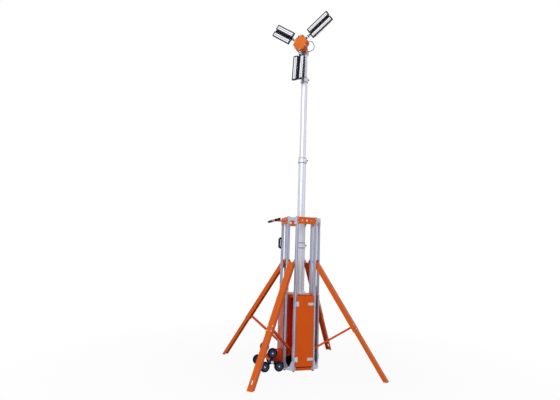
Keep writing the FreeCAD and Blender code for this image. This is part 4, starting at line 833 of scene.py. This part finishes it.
def make_leg_channel(corner):
    """The upper leg: two bent flanges and a web whose end dips between them."""
    place = leg_frame(corner)
    form = Form()
    web = LEG_HALF - LEG_BEND - LEG_WALL
    bend = (LEG_OUTSIDE - LEG_BEND, LEG_HALF - LEG_BEND)
    for side in (-1, 1):
        outline = [(LEG_INSIDE, LEG_HALF)]
        outline += arc(bend, LEG_BEND, [math.pi / 2 * (1 - step / 6) for step in range(7)])
        outline += [(LEG_OUTSIDE, web), (LEG_OUTSIDE - LEG_WALL, web)]
        outline += arc(bend, LEG_BEND - LEG_WALL, [math.pi / 2 * step / 4 for step in range(5)])
        outline += [(LEG_INSIDE, LEG_HALF - LEG_WALL)]
        outline = [(x, y * side) for x, y in outline]
        form.prism(outline, LEG_END, LEG_TOP, place, "orange_paint")
    dip = arc((0, LEG_TOP - LEG_DIP), web, [-math.pi * step / 20 for step in range(21)])
    plate = [(web, LEG_END)] + dip + [(-web, LEG_END)]
    form.prism(plate, LEG_OUTSIDE - LEG_WALL, LEG_OUTSIDE, place @ TO_X, "orange_paint")
    form.piece(f"leg_channel_{corner}", f"leg_upper_{corner}", "orange_paint",
               replaces=[f"leg_upper_{corner}"])


def make_leg_fittings(corner):
    """Bolts and washers on the upper leg, strut pins on the lower leg and at the strut's foot."""
    place = leg_frame(corner)
    upper, lower = Form(), Form()
    for across in (-LEG_BOLTS_ACROSS, LEG_BOLTS_ACROSS):
        for down in LEG_BOLTS_DOWN:
            upper.bolt(place @ facing((LEG_OUTSIDE, across, down), (1, 0, 0)), "steel", 6, 6, 8.5)
    for side in (-1, 1):
        washer = place @ facing((0, side * LEG_HALF, 0), (0, side, 0))
        upper.ring([(0, 6.2), (0, 13), (2, 13), (2.6, 12.2), (2.6, 6.2)], washer, "steel", 28)
        head = place @ facing((-10, side * 36.5, STRUT_PIN_DOWN), (0, side, 0))
        lower.lathe([(0, 0), (0, 9), (1.6, 9), (2.4, 8), (2.4, 0)], head, "steel")
    for across in (-GUIDE_SCREWS_ACROSS, GUIDE_SCREWS_ACROSS):
        for down in GUIDE_SCREWS_DOWN:
            lower.dome(place @ facing((15.2, across, down), (-1, 0, 0)), "steel", 5, 3)
    upper.piece(f"leg_bolts_{corner}", f"leg_upper_{corner}", "steel")
    lower.piece(f"strut_pin_heads_{corner}", f"leg_lower_{corner}", "steel")
    base = Form()
    for side in (-1, 1):
        at = (STRUT_FOOT_REACH, side * 20.2, STRUT_FOOT_HEIGHT)
        base.lathe([(-5, 0), (-5, 4.9), (0, 4.9), (0, 9), (3, 9), (4, 8), (4, 0)],
                   about_z(CORNERS[corner]) @ facing(at, (0, side, 0)), "steel")
    base.piece(f"strut_base_heads_{corner}", f"strut_{corner}", "steel")


for corner_name in CORNERS:
    make_leg_channel(corner_name)
    make_leg_fittings(corner_name)


# Stair wheels

WHEEL_ANGLES = {"top": 90, "outer": 210, "inner": 330}
WHEEL_FACE = 172.3
STAR_BACK, STAR_FRONT = 164, 172
BOSS_END, STUB_END = 196, 204.4
TYRE = [(2.5, 41.6), (0.8, 45), (0, 50), (1.2, 56.5), (4, 60.6), (8, 62.5), (12.2, 62.5),
        (12.8, 60.6), (14, 60.6), (14.6, 62.5), (17.4, 62.5), (18, 60.6), (19.2, 60.6),
        (19.8, 62.5), (24, 62.5), (28, 60.6), (30.8, 56.5), (32, 50), (31.2, 45), (29.5, 41.6)]
RIM = [(1.8, 41.9), (1.2, 39.2), (2.6, 37.6), (7, 34.5), (8.5, 30), (8.5, 19), (6, 16), (1, 14.6),
       (0.4, 13), (0.4, 6.5), (31.6, 6.5), (31.6, 13), (31, 14.6), (26, 16), (23.5, 19),
       (23.5, 30), (25, 34.5), (29.4, 37.6), (30.8, 39.2), (30.2, 41.9)]


def on_star(key, side, reach, across):
    """A frame on one arm of a star, looking out along the axle."""
    turn = math.radians(WHEEL_ANGLES[key])
    at = (AXLE_X + reach * math.cos(turn), side * across, AXLE_HEIGHT + reach * math.sin(turn))
    return facing(at, (0, side, 0))


def make_wheel(end, side, key):
    place = on_star(key, side, STAR_ARM, WHEEL_FACE)
    form = Form()
    form.ring(TYRE, place, "wheel_rubber", 72)
    form.ring(RIM, place, "rim_plastic", 72)
    for step in range(6):
        rib = place @ about_z(60 * step)
        form.block((17, -2.2, 22), (35, 2.2, 27.5), rib, "rim_plastic", 0.8)
        form.block((17, -2.2, 4.5), (35, 2.2, 10), rib, "rim_plastic", 0.8)
    form.ring([(31.6, 6.5), (31.6, 10.5), (32.2, 10.5), (32.2, 6.5)], place, "steel", 24)
    form.piece(f"wheel_dressed_{end}_{key}", f"wheel_{end}_{key}", "wheel_rubber",
               replaces=[f"wheel_{end}_{key}"])


def make_star_fittings(end, side):
    """Nuts on the wheels' stubs, a ring cap on the boss, and rivets on the arms."""
    form = Form()
    for key in WHEEL_ANGLES:
        nut = on_star(key, side, STAR_ARM, STUB_END)
        form.lathe([(0, 0), (0, 9), (1.2, 9), (1.6, 8.4), (1.6, 0)], nut, "steel")
        form.lathe([(1.6, 0), (1.6, 7.4), (6, 7.4), (7, 6.2), (8.4, 4.6), (9, 2.4), (9, 0)], nut,
                   "steel", 6)
        at = on_star(key, side, STAR_ARM, STAR_BACK).translation
        form.bolt(facing(at, (0, -side, 0)), "steel", 6.5, 5.6, 9)
        for reach in (40, 62, 84):
            form.lathe([(0, 0), (0, 4), (0.8, 3.4), (0.8, 0)],
                       on_star(key, side, reach, STAR_FRONT), "black_metal", 16)
    ring = facing((AXLE_X, side * BOSS_END, AXLE_HEIGHT), (0, side, 0))
    form.ring([(0, 10.6), (0, 18), (3, 18), (4, 17), (4, 12.4), (3, 11.8), (3, 10.6)], ring,
              "steel", 32)
    form.piece(f"star_fittings_{end}", f"star_{end}", "steel")


for wheel_end, wheel_side in (("front", -1), ("back", 1)):
    make_star_fittings(wheel_end, wheel_side)
    for wheel_key in WHEEL_ANGLES:
        make_wheel(wheel_end, wheel_side, wheel_key)


# Head: hub cover, swivels, clamp bolts and lamps

HUB_FACE, HUB_TOP, HUB_SIDE = 159, 92, 100.5
HUB_COVER, HUB_COVER_FACE, HUB_SCREWS = 107, 2.4, 90
HUB_BOLT_DEGREES = (-30, 210)
YOKE_SIDE = 38
QUADRANT_OUTER, QUADRANT_INNER, QUADRANT_SCREWS = 33, 17, 25
QUADRANT_LOW, QUADRANT_HIGH = 38.2, 42
QUADRANT_START, QUADRANT_SWEEP, QUADRANT_STEPS = -110, 150, 14


def hexagon(radius):
    return arc((0, 0), radius, [math.pi / 3 * step for step in range(6)])


def make_hub_fittings():
    """The hub's front cover, its corner screws, the glands on its top and bolts on its sides."""
    form = Form()
    front = HEAD @ facing((0, -HUB_FACE, 0), (0, -1, 0)) @ about_z(90)
    form.prism(hexagon(HUB_COVER), -0.5, HUB_COVER_FACE, front, "hub_front", 1.6)
    for x, y in hexagon(HUB_SCREWS):
        form.dome(front @ moved(x, y, HUB_COVER_FACE), "steel", 4.6, 2.8)
    form.lathe([(2.2, 0), (2.2, 34), (3.4, 34), (4, 33), (4, 0)], front, "hub_front", 48)
    top = HEAD @ facing((-6, -136, HUB_TOP), (0, 0, 1))
    form.lathe([(0, 0), (0, 17), (24, 17), (26, 19), (32, 19), (39, 16), (44, 10), (46, 0)], top,
               "steel", 32)
    for across, tall in ((-36, 30), (26, 24)):
        gland = HEAD @ facing((across, -138, HUB_TOP), (0, 0, 1))
        form.lathe([(0, 0), (0, 13), (18, 13), (18.4, 11), (18.4, 0)], gland, "black_rubber", 6)
        form.lathe([(18, 0), (18, 10.5), (tall + 6, 10.5), (tall + 10, 7), (tall + 10, 4),
                    (tall + 8, 0)], gland, "black_rubber")
    for degrees in HUB_BOLT_DEGREES:
        out = Vector((math.cos(math.radians(degrees)), 0, math.sin(math.radians(degrees))))
        for deep in (-146, -104):
            at = out * HUB_SIDE + Vector((0, deep, 0))
            form.bolt(HEAD @ facing(at, out), "steel", 6.4, 8, 10)
    form.piece("hub_fittings", "head_tilt", "orange_paint")


def make_swivels():
    """Collars and nuts on the hub's and the lamp's half of each swivel."""
    for name in LAMP_ANGLES:
        place = lamp_frame(name)
        hub_half, lamp_half = Form(), Form()
        along = place @ facing((HUB_SIDE, 0, 0), (1, 0, 0))
        hub_half.ring([(0, 10), (0, 24), (4, 24), (5, 23), (5, 10)], along, "steel", 32)
        hub_half.ring([(5, 10.5), (5, 18), (17, 18), (20, 15), (20, 10.5)], along,
                      "black_metal", 6)
        hub_half.ring([(20, 10.5), (20, 16.5), (21.5, 17.5), (36, 17.5), (39.8, 15),
                       (39.8, 10.5)], along, "steel", 32)
        hub_half.piece(f"swivel_hub_{name}", "head_tilt", "steel")
        lamp_half.ring([(41, 10.5), (41, 15), (43, 17.5), (54, 17.5), (56, 16), (56, 10.5)], along,
                       "black_metal", 32)
        lamp_half.ring([(56, 10.5), (56, 21), (62, 21), (64, 19), (64, 10.5)], along, "steel", 6)
        lamp_half.piece(f"swivel_lamp_{name}", f"lamp_{name}", "lamp_metal")


def make_clamp_fittings():
    """The tilt bolt's heads, a quadrant plate with its screws, and the clamp's bolts and band."""
    form = Form()
    for side in (-1, 1):
        at = (side * YOKE_SIDE, -TILT_AXIS, 0)
        form.bolt(HEAD @ facing(at, (side, 0, 0)), "steel", 11, 9, 16)
    angles = [math.radians(QUADRANT_START + QUADRANT_SWEEP * step / QUADRANT_STEPS)
              for step in range(QUADRANT_STEPS + 1)]
    outline = arc((0, 0), QUADRANT_OUTER, angles)
    outline += arc((0, 0), QUADRANT_INNER, reversed(angles))
    quadrant = HEAD @ moved(0, -TILT_AXIS, 0) @ TO_X
    form.prism(outline, QUADRANT_LOW, QUADRANT_HIGH, quadrant, "orange_paint", 0.8)
    screws = arc((0, 0), QUADRANT_SCREWS, [math.radians(angle) for angle in (-100, -35, 30)])
    for x, y in screws:
        form.dome(quadrant @ moved(x, y, QUADRANT_HIGH), "steel", 4, 3)
    for height in (-100, -72):
        form.bolt(HEAD @ facing((0, 46, height), (0, 1, 0)), "steel", 6, 6, 9)
    form.ring([(-50.6, 46.6), (-55.6, 46.6), (-55.6, 45.6), (-50.6, 45.6)], HEAD,
              "black_metal", 48)
    form.piece("clamp_fittings", "head_pan", "clamp_metal")


WINDOW_MIDDLE = 53.5
LENS_HALF = 29.2
BEZEL_LOW, BEZEL_FRONT = 20.6, 22.4
DIODE_ROW, DIODE_LIFT, DIODE_HALF = 22, 3.3, 2.2
BAR_FINS = 26
FIN_GROUPS, FIN_GROUP_PITCH = 7, 40


def round_box(half_long, half_wide, radius):
    """A rectangle's outline with rounded corners."""
    outline = []
    for along, across, start in ((1, 1, 0), (-1, 1, 90), (-1, -1, 180), (1, -1, 270)):
        middle = (along * (half_long - radius), across * (half_wide - radius))
        outline += arc(middle, radius, [math.radians(start + 18 * step) for step in range(6)])
    return outline


def make_lamp_windows(name):
    """Milky lenses, the diodes on their middle strips, the bezels and the bezels' screws."""
    place = lamp_frame(name)
    low, high = LAMP_REACH - LAMP_LENGTH / 2, LAMP_REACH + LAMP_LENGTH / 2
    form = Form()
    for side in (-1, 1):
        middle = side * WINDOW_MIDDLE
        form.block((low + 9.3, -18.4, middle - LENS_HALF), (high - 9.3, -16, middle + LENS_HALF),
                   place, "lens", 0.8)
        form.block((low + 19, -18.9, middle - 6.5), (high - 19, -18.3, middle + 6.5), place,
                   "diode_strip", 0.2)
        for step in range(DIODE_ROW):
            at = low + 26 + step * (LAMP_LENGTH - 52) / (DIODE_ROW - 1)
            for up in (middle - DIODE_LIFT, middle + DIODE_LIFT):
                form.block((at - DIODE_HALF, -19.7, up - DIODE_HALF),
                           (at + DIODE_HALF, -18.8, up + DIODE_HALF), place, "diode", 0.3)
        front = place @ Matrix(((1, 0, 0, LAMP_REACH), (0, 0, -1, 0), (0, 1, 0, middle),
                                (0, 0, 0, 1)))
        form.border(round_box(LAMP_LENGTH / 2 - 0.6, 37.8, 12),
                    round_box(LAMP_LENGTH / 2 - 18, 21.5, 5), BEZEL_LOW, BEZEL_FRONT, front,
                    "lamp_metal")
        for along in (low + 8, LAMP_REACH - 60, LAMP_REACH + 60, high - 8):
            for across in (side * 22, side * 85):
                screw = facing((along, -BEZEL_FRONT, across), (0, -1, 0))
                form.dome(place @ screw, "lamp_metal", 2.4, 1.2)
    form.piece(f"lamp_glass_{name}", f"lamp_{name}", "lamp_metal")


def make_lamp_fins(name):
    """Slanted fins on the lamp's middle bar, fine fins and the arm's plate on its back."""
    place = lamp_frame(name)
    form = Form()
    pitch = (LAMP_LENGTH - 40) / BAR_FINS
    slant = Matrix.Rotation(math.radians(45), 4, "Y")
    for step in range(BAR_FINS):
        at = LAMP_REACH + (step + 0.5 - BAR_FINS / 2) * pitch
        form.block((-1.5, -20.2, -17), (1.5, -15.6, 17), place @ moved(at, 0, 0) @ slant,
                   "lamp_metal", 0.0)
    for step in range(FIN_GROUPS):
        middle = LAMP_REACH + (step - FIN_GROUPS // 2) * FIN_GROUP_PITCH
        for at in (middle - 10, middle, middle + 10):
            form.block((at - 0.9, -0.5, -88), (at + 0.9, 17.5, 88), place, "lamp_metal", 0.3)
    form.block((LAMP_REACH - 58, 17, -24), (LAMP_REACH + 58, 21, 24), place, "lamp_metal", 1.5)
    for along in (-50, 50):
        for across in (-18, 18):
            form.dome(place @ facing((LAMP_REACH + along, 21, across), (0, 1, 0)), "steel", 3, 2)
    form.piece(f"lamp_fins_{name}", f"lamp_{name}", "lamp_metal")


make_hub_fittings()
make_swivels()
make_clamp_fittings()
for lamp_name in LAMP_ANGLES:
    make_lamp_windows(lamp_name)
    make_lamp_fins(lamp_name)


# Stage: a pale floor under soft light

FLOOR_TONE = (0.62, 0.62, 0.63, 1)
FLOOR_RADIUS = 60
FLOOR_FADE = (1.0, 4.0)
FLOOR_NEAR_GLOW = 0.94
FILL_TONE, FILL_STRENGTH = (0.93, 0.94, 1.0, 1), 0.34
WHITE = (1, 1, 1, 1)


def seeing_rays(nodes, links):
    """1 for the rays that show the background: from the camera, in metal and through glass."""
    rays = nodes.new("ShaderNodeLightPath")
    total = rays.outputs["Is Camera Ray"]
    for kind in ("Is Glossy Ray", "Is Transmission Ray"):
        either = nodes.new("ShaderNodeMath")
        either.operation = "MAXIMUM"
        links.new(total, either.inputs[0])
        links.new(rays.outputs[kind], either.inputs[1])
        total = either.outputs["Value"]
    return total


def make_floor():
    material, nodes, links = shader("floor")
    nodes.remove(nodes["Principled BSDF"])
    matte = nodes.new("ShaderNodeBsdfDiffuse")
    matte.inputs["Color"].default_value = FLOOR_TONE
    glow = nodes.new("ShaderNodeEmission")
    glow.inputs["Color"].default_value = WHITE
    where = nodes.new("ShaderNodeTexCoord")
    distance = nodes.new("ShaderNodeVectorMath")
    distance.operation = "LENGTH"
    fade = nodes.new("ShaderNodeMapRange")
    fade.inputs["From Min"].default_value = FLOOR_FADE[0]
    fade.inputs["From Max"].default_value = FLOOR_FADE[1]
    fade.inputs["To Min"].default_value = FLOOR_NEAR_GLOW
    shown = nodes.new("ShaderNodeMath")
    shown.operation = "MULTIPLY"
    mix = nodes.new("ShaderNodeMixShader")
    links.new(where.outputs["Object"], distance.inputs[0])
    links.new(distance.outputs["Value"], fade.inputs["Value"])
    links.new(fade.outputs["Result"], shown.inputs[0])
    links.new(seeing_rays(nodes, links), shown.inputs[1])
    links.new(shown.outputs["Value"], mix.inputs["Fac"])
    links.new(matte.outputs["BSDF"], mix.inputs[1])
    links.new(glow.outputs["Emission"], mix.inputs[2])
    links.new(mix.outputs["Shader"], nodes["Material Output"].inputs["Surface"])
    bm = bmesh.new()
    bmesh.ops.create_circle(bm, cap_ends=True, segments=96, radius=FLOOR_RADIUS)
    mesh = bpy.data.meshes.new("floor")
    bm.to_mesh(mesh)
    bm.free()
    mesh.materials.append(material)
    floor = added("floor", mesh)


def make_world():
    world = bpy.data.worlds.new("studio")
    world.use_nodes = True
    nodes, links = world.node_tree.nodes, world.node_tree.links
    fill = nodes["Background"]
    fill.inputs["Color"].default_value = FILL_TONE
    fill.inputs["Strength"].default_value = FILL_STRENGTH
    seen = nodes.new("ShaderNodeBackground")
    seen.inputs["Color"].default_value = WHITE
    mix = nodes.new("ShaderNodeMixShader")
    links.new(seeing_rays(nodes, links), mix.inputs["Fac"])
    links.new(fill.outputs["Background"], mix.inputs[1])
    links.new(seen.outputs["Background"], mix.inputs[2])
    links.new(mix.outputs["Shader"], nodes["World Output"].inputs["Surface"])
    bpy.context.scene.world = world


def make_soft_light(name, at, target, size, power):
    data = bpy.data.lights.new(name, "AREA")
    data.size = size
    data.energy = power
    light = added(name, data)
    light.location = at
    light.rotation_euler = (Vector(target) - Vector(at)).to_track_quat("-Z", "Y").to_euler()


make_floor()
make_world()
make_soft_light("key", (-5.5, -6.5, 6.5), (0, 0, 1.6), 5.0, 430)
make_soft_light("fill", (6.5, -4.0, 4.5), (0, 0, 2.0), 5.0, 50)
bpy.context.scene.view_settings.view_transform = "Standard"
